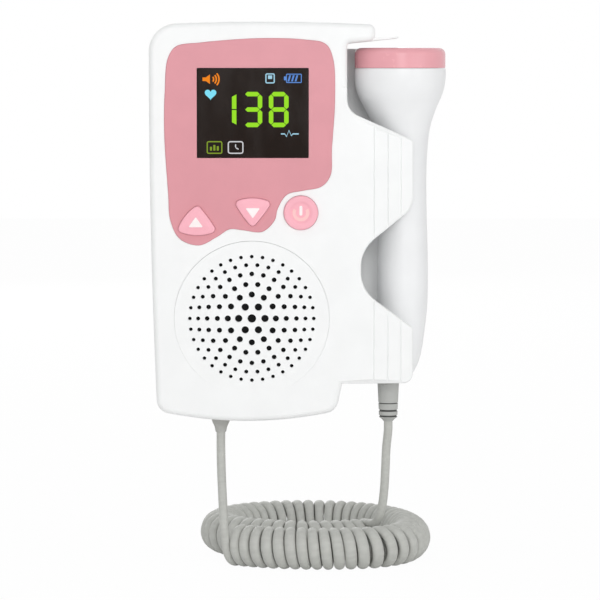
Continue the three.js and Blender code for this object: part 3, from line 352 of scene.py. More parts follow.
# Smooth shading that stays flat on large faces and sharp past an angle
def shade(piece, angle):
    piece.data.shade_smooth()
    piece.data.set_sharp_from_angle(angle=np.radians(angle))
    step = piece.modifiers.new("normals", "WEIGHTED_NORMAL")
    step.keep_sharp = True
    step.weight = 80
    return settle(piece)


# Gives a piece its finish and its body
def dress(piece, body, finishName):
    piece.data.materials.clear()
    piece.data.materials.append(finishes[finishName])
    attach(piece, body)
    return piece


def finish(piece, body, finishName, slotName, *replaced, angle=32):
    dress(shade(piece, angle), body, finishName)
    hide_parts(*replaced)
    return piece


# Finishes

# One socket of a shader tree: arithmetic on it adds Math nodes
class Wire:
    def __init__(self, tree, socket):
        self.tree, self.socket = tree, socket

    def node(self, kind, settings=None, inputs=None, out=0):
        made = self.tree.nodes.new(kind)
        for key, value in (settings or {}).items():
            setattr(made, key, value)
        for key, value in (inputs or {}).items():
            if isinstance(value, Wire):
                self.tree.links.new(value.socket, made.inputs[key])
            else:
                made.inputs[key].default_value = value
        return Wire(self.tree, made.outputs[out])

    def maths(self, operation, *terms):
        return self.node("ShaderNodeMath", {"operation": operation}, dict(enumerate(terms)))

    def __add__(self, other): return self.maths("ADD", self, other)
    def __radd__(self, other): return self.maths("ADD", other, self)
    def __sub__(self, other): return self.maths("SUBTRACT", self, other)
    def __rsub__(self, other): return self.maths("SUBTRACT", other, self)
    def __mul__(self, other): return self.maths("MULTIPLY", self, other)
    def __rmul__(self, other): return self.maths("MULTIPLY", other, self)
    def __truediv__(self, other): return self.maths("DIVIDE", self, other)
    def __rtruediv__(self, other): return self.maths("DIVIDE", other, self)
    def __gt__(self, other): return self.maths("GREATER_THAN", self, other)
    def __lt__(self, other): return self.maths("LESS_THAN", self, other)

    def size(self): return self.maths("ABSOLUTE", self)
    def root(self): return self.maths("SQRT", self)
    def part(self): return self.maths("FRACT", self)

    def axis(self, letter):
        return self.node("ShaderNodeSeparateXYZ", inputs={0: self}, out="XYZ".index(letter))

    def step(self, low, high):   # 0 at low, 1 at high, smooth between
        return self.node("ShaderNodeMapRange", {"interpolation_type": "SMOOTHSTEP"},
                         {"Value": self, "From Min": low, "From Max": high})

    def noise(self, scale, detail=2.0, stretch=(1, 1, 1)):
        place = self.node("ShaderNodeMapping", inputs={"Vector": self, "Scale": stretch})
        return self.node("ShaderNodeTexNoise", inputs={"Vector": place, "Scale": scale, "Detail": detail})

    def blend(self, low, high):  # mixes two colours by this value
        return self.node("ShaderNodeMix", {"data_type": "RGBA"}, {0: self, 6: low, 7: high}, out=2)


def tone(red, green, blue):   # a colour as seen on screen, as linear light
    c = np.array([red, green, blue]) / 255
    c = np.where(c <= 0.04045, c / 12.92, ((c + 0.055) / 1.055)**2.4)
    return (*c.tolist(), 1.0)


def shadeOf(colour, factor):
    return (*[min(1.0, c * factor) for c in colour[:3]], 1.0)


finishes = {}


# Starts a finish: constants go straight on the shader, and the place on the piece comes back
def startFinish(name, coordinates="Object", **constants):
    material = bpy.data.materials.new(name)
    material.use_nodes = True
    tree = material.node_tree
    shader = tree.nodes["Principled BSDF"]
    for key, value in constants.items():
        shader.inputs[key.replace("_", " ")].default_value = value
    finishes[name] = material
    source = tree.nodes.new("ShaderNodeTexCoord")
    return Wire(tree, source.outputs[coordinates]), shader


def feed(shader, **wires):
    for key, wire in wires.items():
        wire.tree.links.new(wire.socket, shader.inputs[key.replace("_", " ")])


def bumpOf(height, strength, depth):
    return height.node("ShaderNodeBump", inputs={
        "Height": height, "Strength": strength, "Distance": depth * mm})


# Moulded plastic: spark-eroded grain, faint mottling and a gloss that handling has evened out
def mouldedFinish(name, colour, roughness, grain=7000, strength=0.12, mottle=0.012):
    place, shader = startFinish(name, Specular_IOR_Level=0.4)
    cloud = place.noise(90, 3)
    fine = place.noise(grain, 2)
    feed(shader,
         Base_Color=cloud.step(0.3, 0.7).blend(shadeOf(colour, 1 - mottle), shadeOf(colour, 1 + mottle)),
         Roughness=roughness - 0.04 + 0.08 * place.noise(260, 3),
         Normal=bumpOf(fine, strength, 0.02))


for name, colour, roughness, more in (
        ("white shell", (247, 248, 248), 0.42, {}),
        ("probe shell", (242, 243, 244), 0.34, {}),
        ("pink panel", (221, 150, 159), 0.36, {"mottle": 0.02}),
        ("pink band", (236, 168, 176), 0.26, {"mottle": 0.02}),
        ("pink key", (250, 181, 194), 0.45, {"mottle": 0.02, "grain": 5000}),
        ("key mark", (255, 244, 244), 0.5, {}),
        ("power mark", (253, 202, 202), 0.5, {}),
        ("black cloth", (10, 10, 11), 0.9, {"grain": 3200, "strength": 0.4}),
        ("black plastic", (38, 38, 40), 0.55, {}),
        ("lens rubber", (214, 210, 202), 0.5, {"grain": 2500, "strength": 0.25})):
    mouldedFinish(name, tone(*colour), roughness, **more)


# Window: dark film under a gloss face, with faint wipe marks in the gloss
def windowFinish():
    place, shader = startFinish("window black", Specular_IOR_Level=0.13)
    smear = place.noise(140, 4, (1, 1, 0.35))
    feed(shader,
         Base_Color=place.noise(500, 2).blend(tone(22, 11, 5), tone(30, 17, 10)),
         Roughness=0.12 + 0.14 * smear.step(0.35, 0.75))


# Lit parts of the display: a fine dot grid under the glow
def glowFinish(name, colour):
    place, shader = startFinish(name, Roughness=0.5, Emission_Strength=1.0, Specular_IOR_Level=0.1)
    pitch = 0.2 * mm
    grid = [((place.axis(letter) / pitch).part() - 0.5).size().step(0.36, 0.5) for letter in "XZ"]
    gap = sum(grid) > 0.5
    feed(shader, Base_Color=gap.blend(shadeOf(colour, 0.06), shadeOf(colour, 0.03)),
         Emission_Color=gap.blend(colour, shadeOf(colour, 0.86)))


# Soft grey sleeve with painted shade in its grooves, each at a height and as tall as it says
def sleeveFinish(name, colour, grooves):
    place, shader = startFinish(name, Specular_IOR_Level=0.35)
    height, fine = place.axis("Z"), place.noise(2600, 3)
    # painted shade: near black in each groove, where shade falls
    paintedGrooveShade = sum(1 - (height - z * mm).size().step(0.42 * tall * mm, 0.58 * tall * mm)
               for z, tall in grooves)
    body = place.noise(200, 3).blend(shadeOf(colour, 0.94), shadeOf(colour, 1.05))
    feed(shader, Base_Color=paintedGrooveShade.blend(body, shadeOf(colour, 0.16)), Roughness=0.55 + 0.15 * fine,
         Normal=bumpOf(fine, 0.2, 0.03))


# Cord jacket on its own map, u round it and v along it: extrusion lines and a satin bloom
def cordFinish():
    place, shader = startFinish("cord grey", coordinates="UV", Specular_IOR_Level=0.35)
    lines = place.noise(24, 2, (1, 0.05, 1))
    bloom = place.noise(2, 3)
    colour = tone(191, 192, 187)
    feed(shader, Base_Color=bloom.step(0.3, 0.7).blend(shadeOf(colour, 0.95), shadeOf(colour, 1.04)),
         Roughness=0.46 + 0.14 * lines, Normal=bumpOf(lines, 0.12, 0.03))


# Circuit board: green mask over tracks that run straight, with tinned pads
def boardFinish():
    place, shader = startFinish("circuit board", Coat_Weight=0.3, Coat_Roughness=0.25)
    cells = place.node("ShaderNodeTexVoronoi", {"distance": "CHEBYCHEV"},
                       {"Vector": place, "Scale": 420.0})
    pads = cells < 0.16
    track = (place.axis("X") / (1.1 * mm)).part().step(0.42, 0.5) * place.noise(120, 0).step(0.48, 0.5)
    mask = track.blend(tone(22, 92, 58), tone(40, 128, 78))
    feed(shader, Base_Color=pads.blend(mask, tone(205, 205, 200)), Metallic=pads * 0.9,
         Roughness=0.45 - 0.15 * pads)


# Brushed or rolled metal: long fine lines across the piece
def metalFinish(name, colour, roughness, stretch):
    place, shader = startFinish(name, Metallic=1.0)
    lines = place.noise(1500, 3, stretch)
    feed(shader, Base_Color=lines.blend(shadeOf(colour, 0.9), shadeOf(colour, 1.05)),
         Roughness=roughness + 0.15 * lines, Normal=bumpOf(lines, 0.08, 0.02))


# Battery cell: printed sleeve with a band below the shoulder, bare metal at both ends
def cellFinish(foot, shoulder):
    place, shader = startFinish("cell sleeve")
    share = (place.axis("Z") - foot * mm) / ((shoulder - foot) * mm)
    bare = (share > 0.985) + (share < 0.012)
    band = (share > 0.74) * (share < 0.985)
    sleeve = band.blend(tone(52, 84, 118), tone(196, 150, 86))
    feed(shader, Base_Color=bare.blend(sleeve, tone(190, 192, 196)), Metallic=bare * 0.95,
         Roughness=0.3 + 0.12 * place.noise(300, 2))


# Paper cone: pressed rings about its own axis
def coneFinish(x, z):
    place, shader = startFinish("paper cone", Roughness=0.85)
    dx, dz = place.axis("X") - x * mm, place.axis("Z") - z * mm
    rings = ((dx * dx + dz * dz).root() / (2.4 * mm)).part()
    feed(shader, Base_Color=place.noise(900, 4).blend(tone(14, 14, 15), tone(24, 24, 26)),
         Normal=bumpOf((rings - 0.5).size(), 0.5, 0.3))


windowFinish()
for name, colour in {
        "green": (150, 222, 34), "orange": (240, 132, 18), "cyan": (126, 222, 244),
        "pale": (160, 206, 226), "blue": (92, 140, 214), "olive": (126, 152, 40),
        "white": (206, 206, 210)}.items():
    glowFinish(f"lit {name}", tone(*colour))
cordFinish()
boardFinish()
metalFinish("bright metal", tone(196, 199, 203), 0.26, (1, 1, 0.04))
metalFinish("screw metal", tone(206, 208, 212), 0.22, (1, 0.2, 1))
cell = {"nub": 1.2, "nubRadius": 2.6, "round": 0.7, "nubRound": 0.4}
cellLow, cellHigh = boxOf("battery_cell_1")
cellFinish(cellLow[2], cellHigh[2] - cell["nub"])
grilleLow, grilleHigh = boxOf("speaker_grille")
speakerX, speakerZ = (grilleLow[0] + grilleHigh[0]) / 2, (grilleLow[2] + grilleHigh[2]) / 2
coneFinish(speakerX, speakerZ)


print("cords")
wire = {"radius": 1.5, "curlRadius": 5.7, "innerPitch": 3.32, "curlGap": 0.24, "widest": 2.05,
        "floor": -118, "sides": 18, "perCurl": 36, "fine": 600, "span": 24, "leadStep": 0.6}
coilRoute = [
    [-5.6, -22.4], [6, -28.4], [19, -31.2], [31, -31.2], [43, -28], [51.6, -19.2], [55, -7.2],
    [54.4, 6], [50, 19], [41, 30], [28, 36.5], [13, 37], [-0.6, 31.8], [-9, 21.5], [-11, 9.5],
    [-6.2, -2], [4.6, -10.6], [17, -14.6], [29, -13.6], [39.6, -9.6],
]
leftRoute = [[-10.3, -18.1, -78], [-10.1, -19.8, -85.5], [-9.7, -23, -93], [-9.3, -26, -99.5]]
rightRoute = [
    [46.6, -17.7, -78], [46.3, -17.9, -85], [45.9, -18, -92], [45.2, -17.7, -98], [44, -16.9, -102.4],
]


# The curls: a circle carried along the level route. Its pitch along the route is the inner
# pitch over (1 - bend x curl radius), so neighbouring curls keep their gap inside a bend. At an
# angle round the curl the pitch is (1 + bend x curl radius x cos angle) of that, and the wire is
# flattened to fill it up to a fine gap
def coilLine():
    fine, span, r = wire["fine"], wire["span"], wire["curlRadius"]
    route = smoothLine(coilRoute, samples=60)
    step = lengthsAlong(route)[-1] / fine
    centres = evenly(route, fine + 1)
    heading = np.unwrap(np.arctan2(*np.gradient(centres, axis=0).T[::-1]))
    i = np.arange(fine + 1)
    a, b = np.maximum(1, i - span), np.minimum(fine - 1, i + span)
    bend = np.abs(heading[b] - heading[a]) / ((b - a) * step)
    phase = np.concatenate([[0], np.cumsum(step * (1 - bend[1:] * r) / wire["innerPitch"])])
    turns = np.floor(phase[-1]) - 0.25
    wanted = np.linspace(0, turns, int(turns * wire["perCurl"]) + 1)
    at = wanted * phase[-1] / turns
    x, y, h = (np.interp(at, phase, v) for v in (centres[:, 0], centres[:, 1], heading))
    angle = -2 * np.pi * wanted
    side = np.stack([np.sin(h), -np.cos(h), 0 * h], 1)
    up = np.array([0, 0, 1])
    middle = np.stack([x, y, 0 * x + wire["floor"] + r + wire["radius"]], 1)
    path = middle + r * (side * np.cos(angle)[:, None] + up * np.sin(angle)[:, None])
    bent = np.interp(at, phase, bend) * r
    pitch = wire["innerPitch"] / (1 - bent) * (1 + bent * np.cos(angle))
    return middle, path, np.clip((pitch - wire["curlGap"]) / 2, wire["radius"], wire["widest"])


# A round section carried along a line. Its first axis keeps to a guide direction, and the
# section is widened across it, to a half width given at each point of the line
def tube(name, line, guide, wide):
    ahead = unit(np.gradient(line, axis=0))
    first = unit(guide - np.sum(guide * ahead, axis=1)[:, None] * ahead)
    second = np.cross(ahead, first)
    angle = np.arange(wire["sides"]) / wire["sides"] * 2 * np.pi
    rings = (line[:, None] + wire["radius"] * np.cos(angle)[None, :, None] * first[:, None]
             + (wide[:, None] * np.sin(angle))[:, :, None] * second[:, None])
    many, count = rings.shape[:2]
    caps = [np.arange(count)[::-1], np.arange(count) + (many - 1) * count]
    piece = makePiece(name, rings.reshape(-1, 3), [*ringFaces(many, count), *caps])
    along = lengthsAlong(line) / (2 * wire["radius"])
    r, i = np.meshgrid(np.arange(many - 1), np.arange(count), indexing="ij")
    u = np.stack([i, i + 1, i + 1, i], -1) / count
    v = along[np.stack([r, r, r + 1, r + 1], -1)]
    jacket = np.vstack([np.stack([u, v], -1).reshape(-1, 2), np.tile([0.5, 0.5], (2 * count, 1))])
    piece.data.uv_layers.new(name="jacket").data.foreach_set("uv", jacket.ravel())
    piece.data.shade_smooth()
    piece.data.materials.append(finishes["cord grey"])
    return piece


# Points at equal steps from one place towards another
def straight(start, end):
    count = max(2, int(np.linalg.norm(end - start) / wire["leadStep"]))
    return start + np.linspace(0, 1, count, endpoint=False)[:, None] * (end - start)


def footOf(node):             # the middle of a node's foot, where a cord leaves it
    low, high = boxOf(node)
    return np.array([(low[0] + high[0]) / 2, (low[1] + high[1]) / 2, low[2]])


# A lead: straight out of its exit, through its route, and straight into the coil's end
def leadLine(exitPoint, route, meet, heading):
    down = np.array([0, 0, -1.0])
    near = [exitPoint - wire["leadStep"] * down, exitPoint, exitPoint + down * diameter]
    line = smoothLine(np.vstack([near, route, [meet - heading * diameter, meet]]), samples=24)
    return evenly(line, int(lengthsAlong(line)[-1] / wire["leadStep"]))


diameter = 2 * wire["radius"]
coilMiddle, coilPath, curlHalf = coilLine()
startHeading, endHeading = unit(coilPath[1] - coilPath[0]), unit(coilPath[-1] - coilPath[-2])
bootExit, reliefExit = footOf("cord_boot"), footOf("probe_strain_relief")
leftMeet = coilPath[0] - startHeading * diameter
rightMeet = coilPath[-1] + endHeading * diameter
leftLine = leadLine(bootExit, leftRoute, leftMeet, startHeading)
rightLine = leadLine(reliefExit, rightRoute, rightMeet, -endHeading)
leadIn, leadOut = straight(leftMeet, coilPath[0]), straight(rightMeet, coilPath[-1])[::-1]
longLine = np.vstack([leftLine[:-1], leadIn, coilPath, leadOut])
ends = (len(leftLine) - 1 + len(leadIn), len(leadOut))
guide = np.pad(coilMiddle - coilPath, (ends, (0, 0)), mode="edge")
fromEnd = np.minimum(np.arange(len(coilPath)), np.arange(len(coilPath))[::-1])
ramp = np.clip(fromEnd / wire["perCurl"], 0, 1)
wide = np.pad(ramp * (curlHalf - wire["radius"]), ends) + wire["radius"]
curlyCord = tube("curly_cord", longLine, guide, wide)
probeLead = tube("probe_lead", rightLine, np.tile([0, -1.0, 0], (len(rightLine), 1)),
                 np.full(len(rightLine), wire["radius"]))
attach(curlyCord, "body")
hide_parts("cord_left_lead", "cord_coil")
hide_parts("cord_right_lead")
tuple(rightMeet * mm)
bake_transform(probeLead)


# The bell that the fixed end of the cord comes out of, and the grooved sleeve at the probe
boot = {"radius": 3.3, "waist": 2.15, "foot": 1.8, "length": 5, "seat": 0.9, "stem": 2.4, "under": 0.1,
        "neckLow": 2, "neckTall": 9, "neckFit": 0.15}


# A bell: a short rim that narrows to a waist in two long rounds, under a stem inside the case
def cordBoot():
    top, under, stem = boot["length"], boot["length"] + boot["under"], boot["stem"]
    profile = roundedProfile([
        [0, top + boot["seat"]], [stem, top + boot["seat"]], [stem, under], [boot["radius"], under, 0.25],
        [boot["radius"] * 0.94, top * 0.76, 1.4], [boot["waist"], top * 0.38, 1.6],
        [boot["foot"], 0, 0.2], [0, 0],
    ], 8)
    return revolve("cord_bell", profile, *bootExit)


relief = {"top": 3.75, "foot": 3.15, "length": 12.9, "groove": 0.3, "collar": 1.4, "collarRadius": 2.1,
          "collarFoot": 1.62, "grooves": [[0.623, 0.34], [0.817, 0.66], [0.966, 0.56]], "grooveRound": 0.06,
          "stem": 2.6, "stemLength": 3.6, "under": 0.1}
reliefTopZ = reliefExit[2] + relief["collar"] + relief["length"]


# A taper with square grooves at shares of its length and a small collar, round its own axis
def strainRelief():
    top, foot, end = relief["top"], relief["foot"], -relief["length"]
    profile = [[0, relief["stemLength"]], [relief["stem"], relief["stemLength"]],
               [relief["stem"], relief["under"]], [top, relief["under"], 0.3]]
    for share, tall in relief["grooves"]:
        radius = top + (foot - top) * share
        deep = radius - relief["groove"]
        for side, r in ((1, radius), (1, deep), (-1, deep), (-1, radius)):
            profile.append([r, share * end + side * tall / 2, relief["grooveRound"]])
    profile += [[foot, end, 0.3], [relief["collarRadius"], end - relief["collar"] * 0.55, 0.4],
                [relief["collarFoot"], end - relief["collar"], 0.1], [0, end - relief["collar"]]]
    return revolve("relief_sleeve", roundedProfile(profile), reliefExit[0], reliefExit[1], reliefTopZ)


# Painted shade in the sleeve's grooves, and in one band under the bell's rim where it meets the case
sleeveFinish("grey sleeve", tone(184, 185, 182),
             [[reliefTopZ - share * relief["length"], tall] for share, tall in relief["grooves"]])
sleeveFinish("grey bell", tone(184, 184, 180), [[bootExit[2] + boot["length"], 0.5]])
bell = finish(cordBoot(), "body", "grey bell", "grey_rubber", "cord_boot", angle=40)
sleeve = finish(strainRelief(), "probe", "grey sleeve", "grey_rubber", "probe_strain_relief", angle=40)


print("case")
case = {"top": 67.1, "bottom": -63.6, "left": -34, "footLeft": -31.6, "footRight": 29.2, "right": 32.8,
        "waistRight": 31.5, "waist": -53, "topCrown": 1, "bottomCrown": 3.4, "leftCrown": 0.8,
        "topLeftRound": 9.5, "footRound": 4.8, "waistRound": 18, "browReach": 9.4, "browUnder": 60.7,
        "browRise": 1, "browRound": 2.3, "browInner": 1, "shoulder": 4, "edge": 2, "rim": 0.15, "side": 2.2,
        "face": 3, "backWall": 2.4, "split": 18, "lipReach": 17.2, "lipRise": 1.85, "lipTip": 0.5,
        "lipThick": 1.3, "lipSetback": 2.2, "lipSunk": 0.1, "lipRound": 0.15, "lipEdge": 0.2,
        "frontSoft": 0.08, "rearSoft": 0.12}
dock = {"right": 55.2, "bottom": -54.2, "wall": 2.5, "root": 27, "rootRise": 8, "footRound": 3.2,
        "sweepStart": 38, "sweep": 2.6, "scoopDeep": 37.5, "scoopBottom": -35.4, "scoopLow": -22.3,
        "scoopHigh": -8.75, "scoopTop": 5.4, "scoopRound": 12, "lip": 1.2, "shoulder": 8, "pocketLow": 28.1,
        "pocketHigh": 38.1, "pocketRound": 8, "edges": [0.7, 0.5], "netPitch": 1.6, "netClear": 0.5,
        "grooves": [41.894, 46.598, 51], "grooveWide": 0.42, "grooveDeep": 0.4,
        "groovePast": [3, 5], "rearTop": 59.1, "rearRound": 4, "rearEdges": [1.2, 0.8],
        "cradles": [17, -45], "cradleThick": 2.4, "cradleArm": 1.1, "cradleMouth": 9}
footCorners = [
    [case["footLeft"], case["bottom"], case["footRound"], case["bottomCrown"]],
    [case["footRight"], case["bottom"], case["footRound"]],
    [case["waistRight"], case["waist"], case["waistRound"]],
    [case["right"], dock["scoopLow"], case["waistRound"]],
]
topLeft = [case["left"], case["top"], case["topLeftRound"], case["leftCrown"]]
caseLoop = cornerLoop([
    *footCorners,
    [case["right"], case["browUnder"], case["browInner"]],
    [case["right"] + case["browReach"], case["browUnder"] + case["browRise"], case["browRound"]],
    [case["right"] + case["browReach"], case["top"], case["browRound"], case["topCrown"]],
    topLeft,
])
topRight = [case["right"], case["top"], case["shoulder"], case["topCrown"]]
roomLoop = inset(cornerLoop([*footCorners, topRight, topLeft]), case["side"])
dockLoop = cornerLoop([
    [dock["root"], dock["bottom"]],
    [dock["right"], dock["bottom"], dock["footRound"]],
    [dock["right"], dock["scoopBottom"], dock["lip"]],
    [dock["scoopDeep"], dock["scoopLow"], dock["scoopRound"]],
    [dock["scoopDeep"], dock["scoopHigh"], dock["scoopRound"]],
    [dock["right"], dock["scoopTop"], dock["shoulder"]],
    [dock["right"], dock["pocketLow"], dock["lip"]],
    [case["right"], dock["pocketHigh"], dock["pocketRound"]],
    [case["right"], dock["pocketHigh"] + dock["rootRise"]],
    [dock["root"], dock["pocketHigh"] + dock["rootRise"]],
])
splitY = frontY + case["split"]
lipLeft, lipRight = case["right"] - past, case["right"] + case["lipReach"]
lipUnder, lipOver = case["browUnder"] + case["lipRise"], case["browUnder"] + case["lipThick"]
lipLoop = cornerLoop([                # the thin lip that reaches over the head from under the brow
    [lipLeft, case["browUnder"] - case["lipSunk"]], [lipRight, lipUnder, case["lipRound"]],
    [lipRight, lipUnder + case["lipTip"], case["lipRound"]], [case["right"], lipOver], [lipLeft, lipOver],
], 4)
faceBack = frontY + case["face"]


def sweepOf(x):               # how far the dock's front wall is drawn back at x
    share = np.maximum(0, (x - dock["sweepStart"]) / (dock["right"] + past - dock["sweepStart"]))
    return dock["sweep"] * share**2


# The points of a grid that lie inside a loop and clear of its edge
def insideGrid(loop, spacing, clear):
    low, high = loop.min(0), loop.max(0)
    x, z = (np.arange(low[k] + spacing / 2, high[k], spacing) for k in (0, 1))
    grid = np.stack(np.meshgrid(x, z), -1).reshape(-1, 2)
    a, b = loop, np.roll(loop, -1, 0)
    gx, gz = grid[:, :1], grid[:, 1:]
    crosses = (a[:, 1] > gz) != (b[:, 1] > gz)
    rise = np.where(b[:, 1] == a[:, 1], 1, b[:, 1] - a[:, 1])
    crossing = a[:, 0] + (gz - a[:, 1]) * (b[:, 0] - a[:, 0]) / rise
    inside = np.sum(crosses & (gx < crossing), axis=1) % 2 == 1
    edge, reach = b - a, grid[:, None] - a
    t = np.clip(np.sum(reach * edge, -1) / np.maximum(np.sum(edge * edge, -1), 1e-9), 0, 1)
    away = np.linalg.norm(reach - t[..., None] * edge, axis=-1).min(1)
    return grid[inside & (away > clear)]


# The dock's front wall: a slab whose depth follows the sweep, capped by a fine net at each side
def sweptWall():
    rings = slabRings(dockLoop, frontY, frontY + dock["wall"], *dock["edges"], 6, sweepOf)
    count = len(dockLoop)
    points, faces = [np.vstack(rings)], [*ringFaces(len(rings), count)]
    total = len(rings) * count
    for ring, base in ((rings[0], 0), (rings[-1], (len(rings) - 1) * count)):
        flat = ring[:, [0, 2]]
        extra = insideGrid(flat, dock["netPitch"], dock["netClear"])
        net = delaunay_2d_cdt([tuple(p) for p in [*flat, *extra]], [], [list(range(count))], 1, 1e-6)
        away = ring[0, 1] - sweepOf(ring[:1, 0])[0]
        index = np.array([origin[0] for origin in net[3]])
        index = np.where(index < count, base + index, total + index - count)
        points.append(level(extra, away + sweepOf(extra[:, 0])))
        total += len(extra)
        faces += [index[list(f)] for f in net[2]]
    return turnedOut(makePiece("wall", np.vstack(points), faces))


# One vertical groove: a rounded gutter along z at the depth of the swept face
def grooveCutter(x):
    half, deep, (below, above) = dock["grooveWide"] / 2, dock["grooveDeep"], dock["groovePast"]
    y = frontY + sweepOf(x)
    angle = np.linspace(0, np.pi, 9)
    gutter = np.stack([x + half * np.cos(angle), y + deep * np.sin(angle)], 1)
    return upright("groove", np.vstack([[x + half, y - past], gutter, [x - half, y - past]]),
                   dock["bottom"] - below, dock["pocketHigh"] + above)


panelLow, panelHigh = boxOf("face_panel")
panelFront, panelBack = panelLow[1], panelHigh[1]
panel = {"left": -28.8, "foot": -7.2, "width": 57.5, "height": 69.7, "edge": 0.3, "soft": 0.09,
         "windowSunk": 0.22, "windowEdge": 0.15, "windowRound": 0.3, "windowLedge": 1.3}
panelShares = [
    [0.022, 0.903], [0.069, 0.96], [0.212, 0.979], [0.4, 0.993], [0.574, 1], [0.814, 0.994],
    [0.946, 0.972], [0.988, 0.903], [1, 0.715], [0.982, 0.468], [0.974, 0.339], [0.922, 0.285],
    [0.814, 0.265], [0.718, 0.245], [0.664, 0.176], [0.646, 0.121], [0.574, 0.066], [0.454, 0.074],
    [0.382, 0.078], [0.31, 0.042], [0.202, 0], [0.088, 0.032], [0.034, 0.121], [0.022, 0.25],
    [0, 0.547], [0.004, 0.745],
]
panelLoop = smoothLine(np.array(panelShares) * [panel["width"], panel["height"]]
                       + [panel["left"], panel["foot"]], closed=True, samples=10)
windowLow, windowHigh = boxOf("display_window")
windowRim = np.array([windowLow[0], windowHigh[0], windowLow[2], windowHigh[2]])
windowLoop = boxLoop(*windowRim, panel["windowRound"])
keys = {"width": 12.2, "height": 10, "round": 1.5, "crown": 1.5, "proud": 1.15, "edge": 0.5, "dome": 0.22,
        "up": [-18.105, 1], "down": [1.1, 4], "power": [17.2, 3.8], "powerRadius": 5.8, "gap": 0.1,
        "capLap": 0.5, "stemLap": 0.4, "flange": 0.8, "stem": 1.6, "dish": 0.45, "dishRadius": 3.1,
        "dishRim": 3.9, "upMark": [-18.25, 0.72], "downMark": [0.98, 3.7], "markWide": 5, "markRise": 3.5,
        "markRound": 0.25, "markProud": 0.06, "markThick": 0.5, "markOuter": 2.85, "markInner": 1.7,
        "powerSunk": 0.2, "barHalf": 0.5, "barLow": -0.9, "barHigh": 2.4}
upShares = [[0.045, 0.551, 0.7], [-0.528, -0.334, 1], [0.574, -0.336, 0.2]]
downShares = [[-0.525, 0.349, 0.25], [-0.018, -0.53, 0.2], [0.52, 0.334, 0.93]]


# A key's outline: three corners as shares of its width and height, with bulging edges
def keyLoop(shares, place):
    return cornerLoop([[place[0] + u * keys["width"], place[1] + v * keys["height"], keys["round"],
                        bulge * keys["crown"]] for u, v, bulge in shares], 12, 12)


upLoop, downLoop = keyLoop(upShares, keys["up"]), keyLoop(downShares, keys["down"])
powerLoop = circleLoop(*keys["power"], keys["powerRadius"])
grilleRadius = (grilleHigh[0] - grilleLow[0]) / 2
grille = {"tilt": 0.16, "flush": 0.02, "edge": 0.04, "slack": 0.055, "ledge": 3.3, "clothInset": 2,
          "clothGap": 0.04, "clothThick": 0.2, "centreHole": 1.45, "rings": [
              (4.45, 1.25), (8.12, 1.05), (11.65, 0.89), (15.1, 0.81), (18.15, 0.7), (20.95, 0.63)]}
screws = {"places": [[-27.5, 56], [28, 58.5], [-26.5, -55], [25, -57]], "head": 2.6, "headThick": 1.8,
          "headRound": 0.6, "sunk": 2.2, "shank": 1.25, "length": 14, "point": 1.2, "wall": 1.5, "fit": 0.3,
          "cross": [1.5, 0.32], "crossRound": 0.12, "crossDeep": 0.5}
screwBore = screws["shank"] + screws["fit"]
screwBase = -screws["sunk"] - screws["headThick"]
keyHoles = [inset(loop, -keys["gap"]) for loop in (upLoop, downLoop, powerLoop)]


# The front: a slab with a round rim, joined to the dock's wall and the lip, then hollowed,
# opened for what sits in it, and given its four bosses and their bores
def frontHousing():
    shell = slab(caseLoop, frontY, splitY - seam / 2, case["edge"], case["rim"], 10, "front_shell")
    shell = join(shell, sweptWall())
    lipFront = frontY + case["lipSetback"]
    shell = join(shell, slab(lipLoop, lipFront, splitY - seam / 2, case["lipEdge"], 0, 4))
    shell = cut(shell, *[grooveCutter(x) for x in dock["grooves"]])
    windowHole = boxLoop(*(windowRim + panel["windowLedge"] * np.array([1, -1, 1, -1])))
    shell = cut(shell, slab(roomLoop, faceBack, splitY + past),
                slab(inset(panelLoop, -seam / 3), frontY - past, panelBack + lap),
                *[slab(loop, frontY - past, faceBack + past) for loop in (windowHole, *keyHoles)],
                rod(speakerX, speakerZ, grilleRadius, frontY - past, grilleHigh[1] + lap, 160),
                rod(speakerX, speakerZ, grilleRadius - grille["ledge"], frontY - past, faceBack + past, 96))
    for x, z in screws["places"]:
        shell = join(shell, rod(x, z, screwBore + screws["wall"], faceBack - lap, splitY - seam / 2, 32))
    for x, z in screws["places"]:
        shell = cut(shell, rod(x, z, screwBore, screwBase - screws["length"] - lap, splitY + past, 24))
    radius, low = boot["stem"] + boot["neckFit"], bootExit[2] + boot["neckLow"]
    return cut(shell, post("neck", *bootExit[:2], radius, low, low + boot["neckTall"]))


finish(soften(frontHousing(), case["frontSoft"]), "body", "white shell", "white_shell", "front_housing")


print("rear shell")
battery = {"halfWidth": 15, "bottom": -60.7, "top": -8.5, "floor": -17.3, "wall": 1.2, "coverHalf": 19,
           "coverTop": -5.5, "coverRound": 3, "coverThick": 1.8, "coverPast": 5, "pad": 1.4, "gripCount": 5,
           "gripTop": -11, "gripPitch": 2.4, "gripWide": 1.1, "gripDeep": 0.6, "gripRound": 0.54}
coverHalf, coverFoot = battery["coverHalf"], case["bottom"] - battery["coverPast"]
coverTop = [battery["coverTop"], battery["coverRound"]]
coverLoop = cornerLoop([[-coverHalf, coverFoot], [coverHalf, coverFoot], [coverHalf, *coverTop],
                        [-coverHalf, *coverTop]])
dockRearLoop = cornerLoop([
    [dock["root"], dock["bottom"]], [dock["right"], dock["bottom"], dock["rearRound"]],
    [dock["right"], dock["rearTop"], dock["rearRound"]], [dock["root"], dock["rearTop"]],
])
